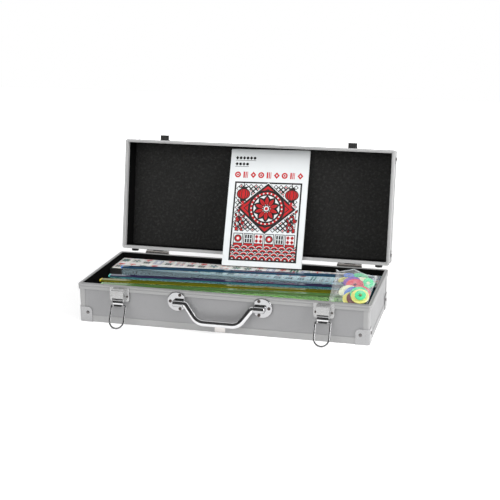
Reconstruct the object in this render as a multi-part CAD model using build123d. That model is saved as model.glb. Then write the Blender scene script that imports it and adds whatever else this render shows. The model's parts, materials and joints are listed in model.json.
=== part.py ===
from build123d import *
import os
from math import cos, radians, tan

os.makedirs("parts", exist_ok=True)

# Driving dimensions, in millimetres and degrees.
# The origin is the centre of the base's underside: +X right, +Y to the hinges, +Z up.
CASE_W = 500.0  # left to right, over the rims
CASE_D = 203.0  # front to back, over the rims
BASE_H = 67.0  # underside to the base's rim
CLOSED_H = 113.5  # underside to the top of the closed lid
LID_OPENS = 101.14  # from closed to the hinge's stop

RIM_H = 9.0
RIM_T = 5.4
RIM_GAP = 0.2  # between the two rims when closed
LIP_H = 1.2  # dust lip on the base's rim
FRAME_INSET = 1.6  # edge frames and corner posts, behind the rim's face
FRAME_H = 11.5
PANEL_INSET = 2.2
PANEL_T = 2.2
BOARD_T = 2.0  # bottom board and top board
LEDGE_W = 4.6  # ledge of the edge frames over the boards
LEDGE_T = 1.0
LINING_T = 0.8
RIM_LINING_T = 0.5  # over the base rim's inner face
FOAM_T = 1.0  # lid foam above the ledge
POST_W = 10.0
OUTER_R = 4.0

CAP_W = 24.0
BASE_CAP_H = 26.6
LID_CAP_H = 22.0
CAP_T = 1.0

HINGE_X = 180.0
HINGE_W = 43.0
HINGE_OUT = 5.0  # hinge axis behind the rear rim face
KNUCKLE_R = 3.6
HINGE_PIN_R = 1.5
RUNNING = 0.05  # radial clearance of a pin in its hole
SHEET = 1.2  # pressed steel of the hardware

LATCH_X = 174.5
LATCH_W = 34.5
AXLE_OUT, AXLE_Z = 7.6, 46.0  # the latch lever's axle
LOOP_OUT, LOOP_Z = 6.2, 36.0  # the loop's pivot in the lever
LOOP_LENGTH = 39.3  # pivot to the middle of the wire at the round end
LOOP_HALF = 12.4  # centre to leg
WIRE_R = 1.4
LOOP_LEAN = 28.3  # out from hanging: the wire's end rests on the table
LEVER_HALF = 9.2

ROSETTE_X, ROSETTE_Z, ROSETTE_R = 72.7, 49.8, 17.0
ROSETTE_CUT = 59.5
HANDLE_OUT, HANDLE_Z = 7.0, 48.0  # the handle's pivot
HANDLE_R = 5.5
HANDLE_DROP = 28.8
HANDLE_LEAN = 10.3
GRIP_HALF = 35.0

TILE_W, TILE_D, TILE_T = 21.05, 30.4, 17.6
TILE_PITCH_X, TILE_PITCH_Y, TILE_PITCH_Z = 21.1, 30.6, 17.8
TILE_COLUMNS = 23
TILE_LAYERS = 3
TILES_REAR = 197.2  # rear face of the back row, from the front rim face
DIVIDER_FRONT = 131.5
DIVIDER_T = 3.0
DIVIDER_TOP = 55.2

RACK_L, RACK_H, RACK_T = 457.0, 52.0, 3.0
RACK_LEDGE = 10.0
RACK_LEAN = 20.0
# name: left end, rear edge from the front rim face, height of that edge, tilt in degrees
RACKS = {
    "green": (-221.5, 40.0, 59.2, 1.60),
    "amber": (-232.3, 62.5, 58.95, 1.41),
    "teal": (-227.3, 91.0, 58.4, 1.45),
    "blue": (-220.3, 134.0, 61.9, 1.80),
}
RACK_PAD_X = (-214.0, 206.0)
RACK_PAD_W = 14.0

BOOK_W, BOOK_H, BOOK_T = 147.0, 217.0, 4.0
BOOK_X, BOOK_FRONT, BOOK_Z = 23.0, 188.6, 59.8
BOOK_LEAN = 25.6
BOOK_TILT = 1.1
COVER_T = 0.4

# The bag lies over the right ends of the racks; back is measured from the front rim face.
BAG_FLOOR = 72.4
BAG_MIDDLE = (211.0, 66.0, 87.0)  # x, back and height of the heap's top
# Round the sealed edge from the front left: x, back, height, and height of the heap inside that point.
BAG_EDGE = [
    (181.0, 6.2, 72.3, 77.0),
    (243.6, 6.2, 72.3, 86.0),
    (243.6, 44.0, 74.0, 85.0),
    (243.6, 77.0, 78.0, 85.0),
    (243.6, 112.5, 82.0, 85.0),
    (226.6, 109.1, 84.0, 86.0),
    (201.8, 124.3, 88.0, 87.0),
    (179.8, 116.9, 84.0, 84.5),
    (172.0, 123.0, 85.5, 84.0),
    (174.1, 101.0, 79.5, 80.5),
    (175.6, 69.3, 76.0, 79.0),
    (179.8, 15.0, 73.2, 77.0),
]
HEAP_SHARE = 0.72  # how far out from the middle the heap reaches
FLOOR_SHARE = 0.86  # how far out the underside lies flat
FILM = 0.8
BAG_HOLLOW = 0.9  # how far out the hollow in the bag reaches
COUNTER_R, SMALL_COUNTER_R, COUNTER_HOLE_R, COUNTER_T = 14.5, 9.0, 3.0, 1.6
COUNTER_PITCH = 1.8
# Stacks of counters: x, back, radius and how many.
COUNTER_STACKS = [
    (219.5, 38.0, COUNTER_R, 4),
    (219.5, 68.0, COUNTER_R, 5),
    (203.5, 93.5, COUNTER_R, 3),
    (195.5, 37.0, SMALL_COUNTER_R, 1),
    (195.5, 56.5, SMALL_COUNTER_R, 2),
    (190.5, 74.5, SMALL_COUNTER_R, 1),
]

FRONT, REAR = -CASE_D / 2, CASE_D / 2
LEFT, RIGHT = -CASE_W / 2, CASE_W / 2
LID_Z = BASE_H + RIM_GAP
HINGE_Y, HINGE_Z = REAR + HINGE_OUT, BASE_H
RIM_Z = BASE_H - RIM_H
INNER = PANEL_INSET + PANEL_T  # panel's inner face, behind the rim's face
CLEAR = INNER + LINING_T  # lining's inner face


# General shapes.


def block(x0, x1, y0, y1, z0, z1):
    return Pos((x0 + x1) / 2, (y0 + y1) / 2, (z0 + z1) / 2) * Box(x1 - x0, y1 - y0, z1 - z0)


def prism_x(points, x0, x1):
    """A (y, z) outline pushed along X."""
    face = Plane.YZ.offset(x0) * make_face(Polyline(*points, close=True))
    return extrude(face, amount=x1 - x0)


def prism_y(face, y0, y1):
    """An (x, z) face pushed along Y."""
    plane = Plane(origin=(0, y0, 0), x_dir=(1, 0, 0), z_dir=(0, -1, 0))
    return extrude(plane * face, amount=y0 - y1)


def rod_x(x0, x1, y, z, r):
    return Pos((x0 + x1) / 2, y, z) * Rot(0, 90, 0) * Cylinder(r, x1 - x0)


def rod_y(x, y0, y1, z, r):
    return Pos(x, (y0 + y1) / 2, z) * Rot(90, 0, 0) * Cylinder(r, abs(y1 - y0))


def rounded_column(inset, radius, z0, z1):
    sketch = RectangleRounded(CASE_W - 2 * inset, CASE_D - 2 * inset, radius)
    return Pos(0, 0, z0) * extrude(sketch, amount=z1 - z0)


def mirrored(part):
    return mirror(part, about=Plane.YZ)


def both_sides(part):
    return [part, mirrored(part)]


def opened(part):
    """A piece of the closed lid, swung back to the open stop."""
    to_axis = Pos(0, HINGE_Y, HINGE_Z)
    return to_axis * Rot(-LID_OPENS, 0, 0) * to_axis.inverse() * part


def save(name, parts, lid=False):
    parts = parts if isinstance(parts, list) else [parts]
    solids = [solid for part in parts for solid in part.solids()]
    if lid:
        solids = [opened(solid) for solid in solids]
    shape = solids[0] if len(solids) == 1 else Compound(children=solids)
    export_step(shape, f"parts/{name}.step")


def dome_rivet(x, y, z, out, shank, r=2.8, neck=1.3):
    """A rivet along Y: its head's underside is at y, its dome faces out (-1 front, +1 rear)."""
    head = rod_y(x, y, y + out * 1.0, z, r)
    rim = head.faces().sort_by(Axis.Y)[0 if out < 0 else -1].edges()
    return fillet(rim, 0.8) + rod_y(x, y - out * shank, y, z, neck)


def dome_rivet_x(x, y, z, out, shank, r=2.8, neck=1.3):
    """The same rivet along X."""
    head = rod_x(min(x, x + out), max(x, x + out), y, z, r)
    rim = head.faces().sort_by(Axis.X)[0 if out < 0 else -1].edges()
    return fillet(rim, 0.8) + rod_x(min(x, x - out * shank), max(x, x - out * shank), y, z, neck)


# Extruded frames. An outline is (distance in from the rim's face, height above its own outer end).


def rim_outline(end):
    """Panel slot at the bottom, a groove along the face, and the mating end on top."""
    slot = [(0, 0), (PANEL_INSET, 0), (PANEL_INSET, 4), (INNER, 4), (INNER, 0), (RIM_T, 0)]
    groove = [(0, RIM_H), (0, 6.6), (0.7, 6.3), (0.7, 5.2), (0, 4.9)]
    ends = {
        "plain": [(RIM_T, RIM_H)],
        "lip": [(RIM_T, RIM_H), (5.0, RIM_H), (5.0, RIM_H + LIP_H), (3.6, RIM_H + LIP_H), (3.6, RIM_H)],
        "rebate": [(RIM_T, RIM_H - LIP_H - 0.3), (3.4, RIM_H - LIP_H - 0.3), (3.4, RIM_H)],
    }
    return slot + ends[end] + groove


def edge_outline():
    """Outer angle with a ledge over the board and a thin flange over the foot of the panel."""
    ledge_end = INNER + LEDGE_W
    return [
        (FRAME_INSET + 0.8, 0),
        (INNER, 0),
        (INNER, BOARD_T),
        (ledge_end, BOARD_T),
        (ledge_end, BOARD_T + LEDGE_T),
        (INNER, BOARD_T + LEDGE_T),
        (INNER, FRAME_H - 3),
        (PANEL_INSET, FRAME_H - 3),
        (PANEL_INSET, FRAME_H),
        (FRAME_INSET, FRAME_H),
        (FRAME_INSET, 0.8),
    ]


def frame_side(outline, length, turn, reach):
    """One mitred length of a frame on its outer face at y = 0, turned to its side of the case."""
    bar = prism_x(outline, -length / 2, length / 2)
    depth = 20.0
    plan = Polyline(
        (-length / 2, 0),
        (length / 2, 0),
        (length / 2 - depth, depth),
        (depth - length / 2, depth),
        close=True,
    )
    bar = bar & Pos(0, 0, -1) * extrude(make_face(plan), amount=RIM_H + FRAME_H)
    return Rot(0, 0, turn) * Pos(0, -reach, 0) * bar


def frame(outline, radius, inset, rear_outline=None):
    """Front, right, rear and left sides, in that order."""
    sides = [
        frame_side(outline, CASE_W, 0, CASE_D / 2),
        frame_side(outline, CASE_D, 90, CASE_W / 2),
        frame_side(rear_outline or outline, CASE_W, 180, CASE_D / 2),
        frame_side(outline, CASE_D, -90, CASE_W / 2),
    ]
    column = rounded_column(inset, radius, -1, RIM_H + FRAME_H)
    return [side & column for side in sides]


def panels(z0, z1):
    """Front, right, rear and left wall panels."""
    end_x, end_y = FRAME_INSET + POST_W, FRAME_INSET + POST_W
    return [
        block(LEFT + end_x, RIGHT - end_x, FRONT + PANEL_INSET, FRONT + INNER, z0, z1),
        block(RIGHT - INNER, RIGHT - PANEL_INSET, FRONT + end_y, REAR - end_y, z0, z1),
        block(LEFT + end_x, RIGHT - end_x, REAR - INNER, REAR - PANEL_INSET, z0, z1),
        block(LEFT + PANEL_INSET, LEFT + INNER, FRONT + end_y, REAR - end_y, z0, z1),
    ]


def linings(z0, z1, outer=INNER, thick=LINING_T):
    """Thin lining inside the four walls, its outer face that far in from the rim's face."""
    inner = outer + thick
    return [
        block(LEFT + inner, RIGHT - inner, FRONT + outer, FRONT + inner, z0, z1),
        block(RIGHT - inner, RIGHT - outer, FRONT + outer, REAR - outer, z0, z1),
        block(LEFT + inner, RIGHT - inner, REAR - inner, REAR - outer, z0, z1),
        block(LEFT + outer, LEFT + inner, FRONT + outer, REAR - outer, z0, z1),
    ]


def corner_posts(z0, z1):
    shell = rounded_column(FRAME_INSET, OUTER_R, z0, z1)
    shell -= block(LEFT + INNER, RIGHT - INNER, FRONT + INNER, REAR - INNER, z0, z1)
    posts = []
    for sx in (-1, 1):
        for sy in (-1, 1):
            x0, x1 = sorted((sx * RIGHT, sx * (RIGHT - FRAME_INSET - POST_W)))
            y0, y1 = sorted((sy * REAR, sy * (REAR - FRAME_INSET - POST_W)))
            posts.append(shell & block(x0, x1, y0, y1, z0, z1))
    return posts


def corner_caps(z0, height):
    """Pressed steel caps over the four outer corners, their free corners rounded."""
    up = height > 0
    low, high = sorted((z0, z0 + height))
    out = FRAME_INSET - CAP_T
    shell = rounded_column(out, OUTER_R + CAP_T, low, high)
    shell -= rounded_column(FRAME_INSET, OUTER_R, low, high)
    caps = []
    for sx in (-1, 1):
        for sy in (-1, 1):
            x0, x1 = sorted((sx * RIGHT, sx * (RIGHT - CAP_W)))
            y0, y1 = sorted((sy * REAR, sy * (REAR - CAP_W)))
            cap = shell & block(x0, x1, y0, y1, low, high)
            free = high if up else low
            corners = [
                edge
                for edge in cap.edges()
                if abs(edge.length - CAP_T) < 0.01 and abs(edge.center().Z - free) < 0.01
            ]
            caps.append(fillet(corners, 7.0))
    return caps


def cap_rivets(z):
    """Two rivets to each cap, one in each leaf, with their shanks through the wall panel."""
    out = FRAME_INSET - CAP_T
    shank = INNER - out
    rivets = []
    for sx in (-1, 1):
        for sy in (-1, 1):
            rivets.append(dome_rivet(sx * (RIGHT - 16), sy * (REAR - out), z, sy, shank))
            rivets.append(dome_rivet_x(sx * (RIGHT - out), sy * (REAR - 16), z, sx, shank))
    return rivets


def drilled(part, pins):
    for pin in pins:
        part -= pin
    return part


# Hinges, as they lie with the lid closed.


def hinge_leaf(lid):
    """A joggled leaf with its knuckles; the base's leaf also carries the lug that stops the lid."""
    s = 1 if lid else -1
    y_rim, y_panel = REAR, REAR - PANEL_INSET
    near, far = HINGE_Z + s * 0.6, HINGE_Z + s * 24.0
    bend0, bend1 = HINGE_Z + s * 9.8, HINGE_Z + s * 12.2
    outline = [
        (y_rim + SHEET, near),
        (y_rim + SHEET, bend0 + s * 0.6),
        (y_panel + SHEET, bend1 + s * 0.4),
        (y_panel + SHEET, far),
        (y_panel, far),
        (y_panel, bend1),
        (y_rim, bend0),
        (y_rim, near),
    ]
    x0 = HINGE_X - HINGE_W / 2
    leaf = prism_x(outline, x0, x0 + HINGE_W)
    third = HINGE_W / 3
    gap = 0.2
    if lid:
        knuckles = [(x0 + third + gap, x0 + 2 * third - gap)]
    else:
        knuckles = [(x0, x0 + third - gap), (x0 + 2 * third + gap, x0 + HINGE_W)]
    web = sorted((near, HINGE_Z + s * 2.8))
    for a, b in knuckles:
        leaf += block(a, b, y_rim + 0.4, HINGE_Y - 1.0, *web)
        leaf += rod_x(a, b, HINGE_Y, HINGE_Z, KNUCKLE_R)
    if not lid:
        lug_y, lug_z = HINGE_Y + 4.1, HINGE_Z - 8.5
        past = radians(LID_OPENS - 90)
        leaf_face = (HINGE_OUT - SHEET) / cos(past) - (4.1 + SHEET) * tan(past)
        lug_top = HINGE_Z + leaf_face - 0.3
        a, b = HINGE_X - 10.0, HINGE_X + 10.0
        leaf += block(a, b, y_rim + 0.4, lug_y + SHEET, lug_z, lug_z + SHEET)
        leaf += block(a, b, lug_y, lug_y + SHEET, lug_z, lug_top)
    return leaf - rod_x(x0 - 1, x0 + HINGE_W + 1, HINGE_Y, HINGE_Z, HINGE_PIN_R + RUNNING)


def hinge_rivets(s):
    """Rivets through one hinge's leaf; s is -1 for the base and 1 for the lid."""
    y = REAR - PANEL_INSET + SHEET
    return [
        dome_rivet(HINGE_X + dx, y, HINGE_Z + s * 18.5, 1, SHEET + PANEL_T, r=2.4)
        for dx in (-14.0, 0.0, 14.0)
    ]


def hinge_pin():
    x0, x1 = HINGE_X - HINGE_W / 2, HINGE_X + HINGE_W / 2
    pin = rod_x(x0, x1, HINGE_Y, HINGE_Z, HINGE_PIN_R)
    return pin + rod_x(x0 - 0.9, x0, HINGE_Y, HINGE_Z, 2.3) + rod_x(x1, x1 + 0.9, HINGE_Y, HINGE_Z, 2.3)


# Draw latches. The right-hand one is drawn; y is measured out from the front rim face.

LATCH_SCREWS = [(LATCH_X - 13.5, 50.9), (LATCH_X + 13.5, 50.9)]


def latch_packing():
    return block(
        LATCH_X - LATCH_W / 2 + 1, LATCH_X + LATCH_W / 2 - 1, FRONT, FRONT + PANEL_INSET, 42.3, RIM_Z
    )


def latch_plate():
    low, high = 41.3, BASE_H - 0.6
    plate = block(LATCH_X - LATCH_W / 2, LATCH_X + LATCH_W / 2, FRONT - SHEET, FRONT, low, high)
    corners = plate.edges().filter_by(Axis.Y).group_by(Axis.Z)[0]
    plate = fillet(corners, 5.0)
    return fillet(plate.edges().filter_by(Axis.Y).group_by(Axis.Z)[-1], 1.5)


def latch_housing():
    """A pressed hood: front and two cheeks that come down past the front to carry the axle."""
    half, depth, bottom, top = 10.5, 11.2, 49.5, 64.6
    y0, y1 = FRONT - depth, FRONT - SHEET
    hood = block(LATCH_X - half, LATCH_X + half, y0, y1, bottom, top)
    hood = fillet(hood.edges().filter_by(Axis.X).sort_by(lambda e: e.center().Z - e.center().Y)[-1], 1.8)
    axle_y = FRONT - AXLE_OUT
    for side in (-1, 1):
        x0, x1 = sorted((LATCH_X + side * half, LATCH_X + side * (half - 1.0)))
        hood += block(x0, x1, axle_y, y1, AXLE_Z - 3.2, bottom + 1)
        hood += block(x0, x1, axle_y - 3.2, axle_y, AXLE_Z, bottom + 1)
        hood += rod_x(x0, x1, axle_y, AXLE_Z, 3.2)
    room = block(LATCH_X - half + 1, LATCH_X + half - 1, y0 + 1.0, y1 + 1, 30.0, top - 1.0)
    room = fillet(room.edges().filter_by(Axis.X).sort_by(lambda e: e.center().Z - e.center().Y)[-1], 0.8)
    hood -= room
    return hood - rod_x(LATCH_X - 12, LATCH_X + 12, axle_y, AXLE_Z, 1.5)


def latch_axle():
    y = FRONT - AXLE_OUT
    axle = rod_x(LATCH_X - 10.5, LATCH_X + 10.5, y, AXLE_Z, 1.5)
    heads = rod_x(LATCH_X - 10.75, LATCH_X - 10.5, y, AXLE_Z, 2.2)
    return axle + heads + rod_x(LATCH_X + 10.5, LATCH_X + 10.75, y, AXLE_Z, 2.2)


def latch_screw(x, z):
    y = FRONT - SHEET
    head = rod_y(x, y - 1.0, y, z, 1.9)
    head = fillet(head.faces().sort_by(Axis.Y)[0].edges(), 0.7)
    head -= block(x - 1.5, x + 1.5, y - 1.5, y - 0.5, z - 0.25, z + 0.25)
    head -= block(x - 0.25, x + 0.25, y - 1.5, y - 0.5, z - 1.5, z + 1.5)
    return head + rod_y(x, y, FRONT + INNER, z, 1.2)


def latch_lever():
    """A scooped thumb tab between two ears, which hold the axle and the loop's ends."""
    tab = [
        (-10.2, 44.6),
        (-11.0, 41.6),
        (-9.8, 38.6),
        (-11.6, 35.7),
        (-10.5, 35.2),
        (-8.6, 38.6),
        (-9.8, 41.6),
        (-9.0, 44.6),
    ]
    web = prism_x([(FRONT + y, z) for y, z in tab], LATCH_X - 8.4, LATCH_X + 8.4)
    tongue = Pos(LATCH_X, 47.0) * RectangleRounded(2 * 8.4, 24.0, 4.5)
    web = web & prism_y(tongue, FRONT - 20, FRONT)
    lever = web
    axle_y, loop_y = FRONT - AXLE_OUT, FRONT - LOOP_OUT
    for side in (-1, 1):
        x0, x1 = sorted((LATCH_X + side * 7.9, LATCH_X + side * LEVER_HALF))
        ear = rod_x(x0, x1, axle_y, AXLE_Z, 2.4) + rod_x(x0, x1, loop_y, LOOP_Z, 2.4)
        cheek = [(-10.0, 45.4), (-10.6, 41.6), (-9.4, 37.6), (-8.2, 34.7), (-4.0, 35.4), (-5.4, 45.4)]
        lever += ear + prism_x([(FRONT + y, z) for y, z in cheek], x0, x1)
    lever -= rod_x(LATCH_X - 12, LATCH_X + 12, axle_y, AXLE_Z, 1.5 + RUNNING)
    return lever - rod_x(LATCH_X - 12, LATCH_X + 12, loop_y, LOOP_Z, WIRE_R + RUNNING)


def latch_loop():
    """A wire staple with a round end, its two feet turned in through the lever's ears."""
    foot = LEVER_HALF - 1.1
    turn = 2.4
    route = Line((-foot, 0), (-LOOP_HALF + turn, 0))
    route += CenterArc((-LOOP_HALF + turn, -turn), turn, 90, 90)
    route += Line((-LOOP_HALF, -turn), (-LOOP_HALF, LOOP_HALF - LOOP_LENGTH))
    route += CenterArc((0, LOOP_HALF - LOOP_LENGTH), LOOP_HALF, 180, 180)
    route += Line((LOOP_HALF, LOOP_HALF - LOOP_LENGTH), (LOOP_HALF, -turn))
    route += CenterArc((LOOP_HALF - turn, -turn), turn, 0, 90)
    route += Line((LOOP_HALF - turn, 0), (foot, 0))
    route = Plane.XZ * Wire(route.edges())
    start = Plane(origin=(-foot, 0, 0), x_dir=(0, 1, 0), z_dir=(-1, 0, 0))
    wire = sweep(start * Circle(WIRE_R), path=route)
    return Pos(LATCH_X, FRONT - LOOP_OUT, LOOP_Z) * Rot(-LOOP_LEAN, 0, 0) * wire


def catch():
    """The lid's hook, as it lies with the lid closed: a joggled plate, a ledge and a lip."""
    outline = [
        (PANEL_INSET, 78.6),
        (PANEL_INSET, 88.0),
        (PANEL_INSET - SHEET, 88.0),
        (PANEL_INSET - SHEET, 79.4),
        (-SHEET, 77.0),
        (-SHEET, 70.0),
        (-8.2, 70.0),
        (-8.2, 73.5),
        (-9.5, 73.5),
        (-9.5, 68.6),
        (0, 68.6),
        (0, 76.4),
    ]
    return prism_x([(FRONT + y, z) for y, z in outline], LATCH_X - 8, LATCH_X + 8)


def catch_rivets():
    y = FRONT + PANEL_INSET - SHEET
    return [
        dome_rivet(LATCH_X + dx, y, 83.6, -1, SHEET + PANEL_T, r=1.9, neck=1.0)
        for dx in (-5.0, 5.0)
    ]


# Carrying handle. The right-hand rosette is drawn.

ROSETTE_SCREWS = [(67.5, 61.2), (67.5, 37.4), (84.2, 49.8)]


def rosette_face(r, cut):
    disc = Pos(ROSETTE_X, ROSETTE_Z) * Circle(r)
    return disc & Pos(cut + r, ROSETTE_Z) * Rectangle(2 * r, 3 * r)


def rosette():
    disc = prism_y(rosette_face(ROSETTE_R, ROSETTE_CUT), FRONT, FRONT - 2.2)
    disc = fillet(disc.faces().sort_by(Axis.Y)[0].edges(), 1.4)
    y = FRONT - HANDLE_OUT
    barrel = rod_x(ROSETTE_CUT + 0.8, 78.5, y, HANDLE_Z, 5.6)
    barrel = fillet(barrel.faces().sort_by(Axis.X)[-1].edges(), 2.5)
    saddle = block(ROSETTE_CUT + 0.8, 77.0, y, FRONT - 1, HANDLE_Z - 5.6, HANDLE_Z + 5.6)
    boss = barrel + saddle
    return disc + boss - rod_x(ROSETTE_CUT - 1, 75.8, y, HANDLE_Z, 3.5 + RUNNING)


def rosette_packing():
    face = rosette_face(ROSETTE_R - 1.5, ROSETTE_CUT + 1.0)
    below = Pos(ROSETTE_X, RIM_Z - 20) * Rectangle(40, 40)
    return prism_y(face & below, FRONT + PANEL_INSET, FRONT)


def rosette_screw(x, z):
    y = FRONT - 2.2
    head = rod_y(x, y - 1.1, y, z, 2.7)
    head = fillet(head.faces().sort_by(Axis.Y)[0].edges(), 0.8)
    head -= block(x - 1.8, x + 1.8, y - 1.6, y - 0.6, z - 0.3, z + 0.3)
    head -= block(x - 0.3, x + 0.3, y - 1.6, y - 0.6, z - 1.8, z + 1.8)
    return head + rod_y(x, y, FRONT + INNER, z, 1.3)


def handle_grip():
    """A bent rod whose turned-out ends pivot in the rosettes."""
    bend = 56.3
    corners = [
        (ROSETTE_CUT - 0.3, 0),
        (bend, 0),
        (GRIP_HALF, -HANDLE_DROP),
        (-GRIP_HALF, -HANDLE_DROP),
        (-bend, 0),
        (-ROSETTE_CUT + 0.3, 0),
    ]
    path = Plane.XZ * FilletPolyline(*corners, radius=[5.6, 22.0, 22.0, 5.6])
    start = Plane(origin=(corners[0][0], 0, 0), x_dir=(0, 1, 0), z_dir=(1, 0, 0))
    rod = sweep(start * Circle(HANDLE_R), path=path)
    for side in (-1, 1):
        x0, x1 = sorted((side * (ROSETTE_CUT - 1), side * 75.0))
        rod += rod_x(x0, x1, 0, 0, 3.5)
    return Pos(0, FRONT - HANDLE_OUT, HANDLE_Z) * Rot(-HANDLE_LEAN, 0, 0) * rod


# What the case holds.


def tile(x, y, z, rounded):
    solid = block(x, x + TILE_W, y, y + TILE_D, z, z + TILE_T)
    return fillet(solid.edges(), 1.2) if rounded else solid


def tile_layer(layer):
    x0 = -TILE_PITCH_X * TILE_COLUMNS / 2
    z = BOARD_T + LEDGE_T + 0.3 + layer * TILE_PITCH_Z
    top = layer == TILE_LAYERS - 1
    tiles = []
    for row in range(2):
        y = FRONT + TILES_REAR - TILE_D - row * TILE_PITCH_Y
        tiles += [tile(x0 + i * TILE_PITCH_X, y, z, top) for i in range(TILE_COLUMNS)]
    return tiles


def rack(left, rear, top, tilt):
    """A tile rack stood on its long edge, with its tile ledge uppermost."""
    run = tan(radians(RACK_LEAN))
    depth = RACK_T / cos(radians(RACK_LEAN))
    outline = [
        (0, 0),
        (-RACK_LEDGE, 0),
        (-RACK_LEDGE, -RACK_T),
        (-depth - RACK_T * run, -RACK_T),
        (-depth - RACK_H * run, -RACK_H),
        (-RACK_H * run, -RACK_H),
    ]
    bar = prism_x(outline, 0, RACK_L)
    bar = fillet(bar.edges().filter_by(Axis.X), 0.4)
    return Pos(left, FRONT + rear, top) * Rot(0, -tilt, 0) * bar


def rack_pads():
    """Foam blocks under both ends of every rack, cut to the height that holds it."""
    pads = []
    for left, rear, top, tilt in RACKS.values():
        y1 = FRONT + rear - RACK_H * tan(radians(RACK_LEAN)) + 4.0
        for x in RACK_PAD_X:
            rise = (x - RACK_PAD_W / 2 - left) * tan(radians(tilt))
            under = top - RACK_H / cos(radians(tilt)) + rise - 0.3
            floor = BOARD_T + LEDGE_T
            pads.append(block(x - RACK_PAD_W / 2, x + RACK_PAD_W / 2, y1 - 13.0, y1, floor, under))
    return pads


def booklet_place(part):
    lean = Rot(-BOOK_LEAN, 0, 0) * Rot(0, -BOOK_TILT, 0)
    return Pos(BOOK_X, FRONT + BOOK_FRONT, BOOK_Z) * lean * part


def booklet_cover():
    w = BOOK_W / 2
    outer = block(-w, w, 0, BOOK_T, 0, BOOK_H)
    return booklet_place(outer - block(-w + COVER_T, w + 1, COVER_T, BOOK_T - COVER_T, -1, BOOK_H + 1))


def booklet_pages():
    w = BOOK_W / 2
    slack = 0.05
    y0, y1 = COVER_T + slack, BOOK_T - COVER_T - slack
    return booklet_place(block(-w + COVER_T + 0.1, w - 1.0, y0, y1, 0.6, BOOK_H - 0.6))


def booklet_staples():
    x = -BOOK_W / 2 - 0.5
    return [
        booklet_place(block(x, x + 0.5, BOOK_T / 2 - 0.3, BOOK_T / 2 + 0.3, z - 6, z + 6))
        for z in (BOOK_H * 0.25, BOOK_H * 0.75)
    ]


def faceted(rings, bottom, top):
    """A closed solid of triangles through rings of points, from a bottom point up to a top point."""
    faces = []
    count = len(rings[0])
    for k in range(count):
        n = (k + 1) % count
        corners = [(bottom, rings[0][n], rings[0][k]), (top, rings[-1][k], rings[-1][n])]
        for lower, upper in zip(rings, rings[1:]):
            corners += [(lower[k], lower[n], upper[n]), (lower[k], upper[n], upper[k])]
        faces += [Face(Wire.make_polygon(triangle)) for triangle in corners]
    return Solid(Shell(faces))


def bag_form(reach, inset):
    """The bag's form, drawn in from its outline to a share of it, with its sheets moved in by inset."""
    mx, my, mz = BAG_MIDDLE

    def point(edge, share, z):
        return (mx + (edge[0] - mx) * share, FRONT + my + (edge[1] - my) * share, z)

    out = (reach - HEAP_SHARE) / (1 - HEAP_SHARE)  # 1 on the sealed edge, 0 where the heap begins
    slack = (1 - reach) / 4
    under = [point(e, FLOOR_SHARE - slack, BAG_FLOOR + inset) for e in BAG_EDGE]
    edge = []
    for e in BAG_EDGE:
        roof = e[3] + (e[2] - e[3]) * out
        edge.append(point(e, reach, roof if inset == 0 else (roof + BAG_FLOOR) / 2))
    heap = [point(e, HEAP_SHARE - slack, e[3] - inset) for e in BAG_EDGE]
    return faceted([under, edge, heap], (mx, FRONT + my, BAG_FLOOR + inset), (mx, FRONT + my, mz - inset))


def counters():
    """Ring counters in stacks, inside the bag."""
    rings = []
    for x, back, radius, count in COUNTER_STACKS:
        for number in range(count):
            z = BAG_FLOOR + FILM + 0.1 + COUNTER_T / 2 + number * COUNTER_PITCH
            ring = Cylinder(radius, COUNTER_T) - Cylinder(COUNTER_HOLE_R, COUNTER_T)
            rings.append(Pos(x, FRONT + back, z) * ring)
    return rings


# Base.

base_rivets = cap_rivets(16.7)
base_hinge_rivets = [pin for rivet in hinge_rivets(-1) for pin in both_sides(rivet)]
latch_screws = [s for x, z in LATCH_SCREWS for s in both_sides(latch_screw(x, z))]
rosette_screws = [s for x, z in ROSETTE_SCREWS for s in both_sides(rosette_screw(x, z))]
front_pins = latch_screws + rosette_screws + base_rivets

names = ["front", "right", "rear", "left"]
for name, panel in zip(names, panels(FRAME_H - 3, RIM_Z + 4)):
    save(f"base_{name}_panel", drilled(panel, front_pins + base_hinge_rivets))
base_rim = frame(rim_outline("lip"), OUTER_R, 0, rim_outline("plain"))
for name, side in zip(names, base_rim):
    save(f"base_{name}_rim", drilled(Pos(0, 0, RIM_Z) * side, rosette_screws))
save("base_edge_frame", frame(edge_outline(), OUTER_R, FRAME_INSET))
save("base_corner_posts", corner_posts(FRAME_H, RIM_Z))
save("base_corner_caps", [drilled(cap, base_rivets) for cap in corner_caps(0.0, BASE_CAP_H)])
save("base_rivets", base_rivets + base_hinge_rivets)
save(
    "base_bottom_board",
    block(LEFT + INNER, RIGHT - INNER, FRONT + INNER, REAR - INNER, 0, BOARD_T),
)
ledge_in = INNER + LEDGE_W
floor = block(
    LEFT + ledge_in, RIGHT - ledge_in, FRONT + ledge_in, REAR - ledge_in, BOARD_T, BOARD_T + LEDGE_T
)
wall_lining = linings(BOARD_T + LEDGE_T, RIM_Z) + linings(RIM_Z, BASE_H - 0.4, RIM_T, RIM_LINING_T)
save("base_lining", wall_lining + [floor])
clip = block(-9, 9, FRONT + FRAME_INSET - 0.8, FRONT + FRAME_INSET, 1.2, 8.8)
save("base_trim_clip", fillet(clip.edges().filter_by(Axis.Y), 1.2))
save(
    "divider_board",
    block(
        LEFT + CLEAR + 0.3,
        RIGHT - CLEAR - 0.3,
        FRONT + DIVIDER_FRONT,
        FRONT + DIVIDER_FRONT + DIVIDER_T,
        BOARD_T + LEDGE_T,
        DIVIDER_TOP,
    ),
)
save("rack_pads", rack_pads())


def rubber_foot(z):
    foot = rod_y(230.0, REAR - FRAME_INSET, REAR - FRAME_INSET + 7.0, z, 6.5)
    return fillet(foot.faces().sort_by(Axis.Y)[-1].edges(), 1.5)


save("base_rear_feet", both_sides(rubber_foot(BASE_H - 16.5)))

# Hardware on the base.

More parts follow.
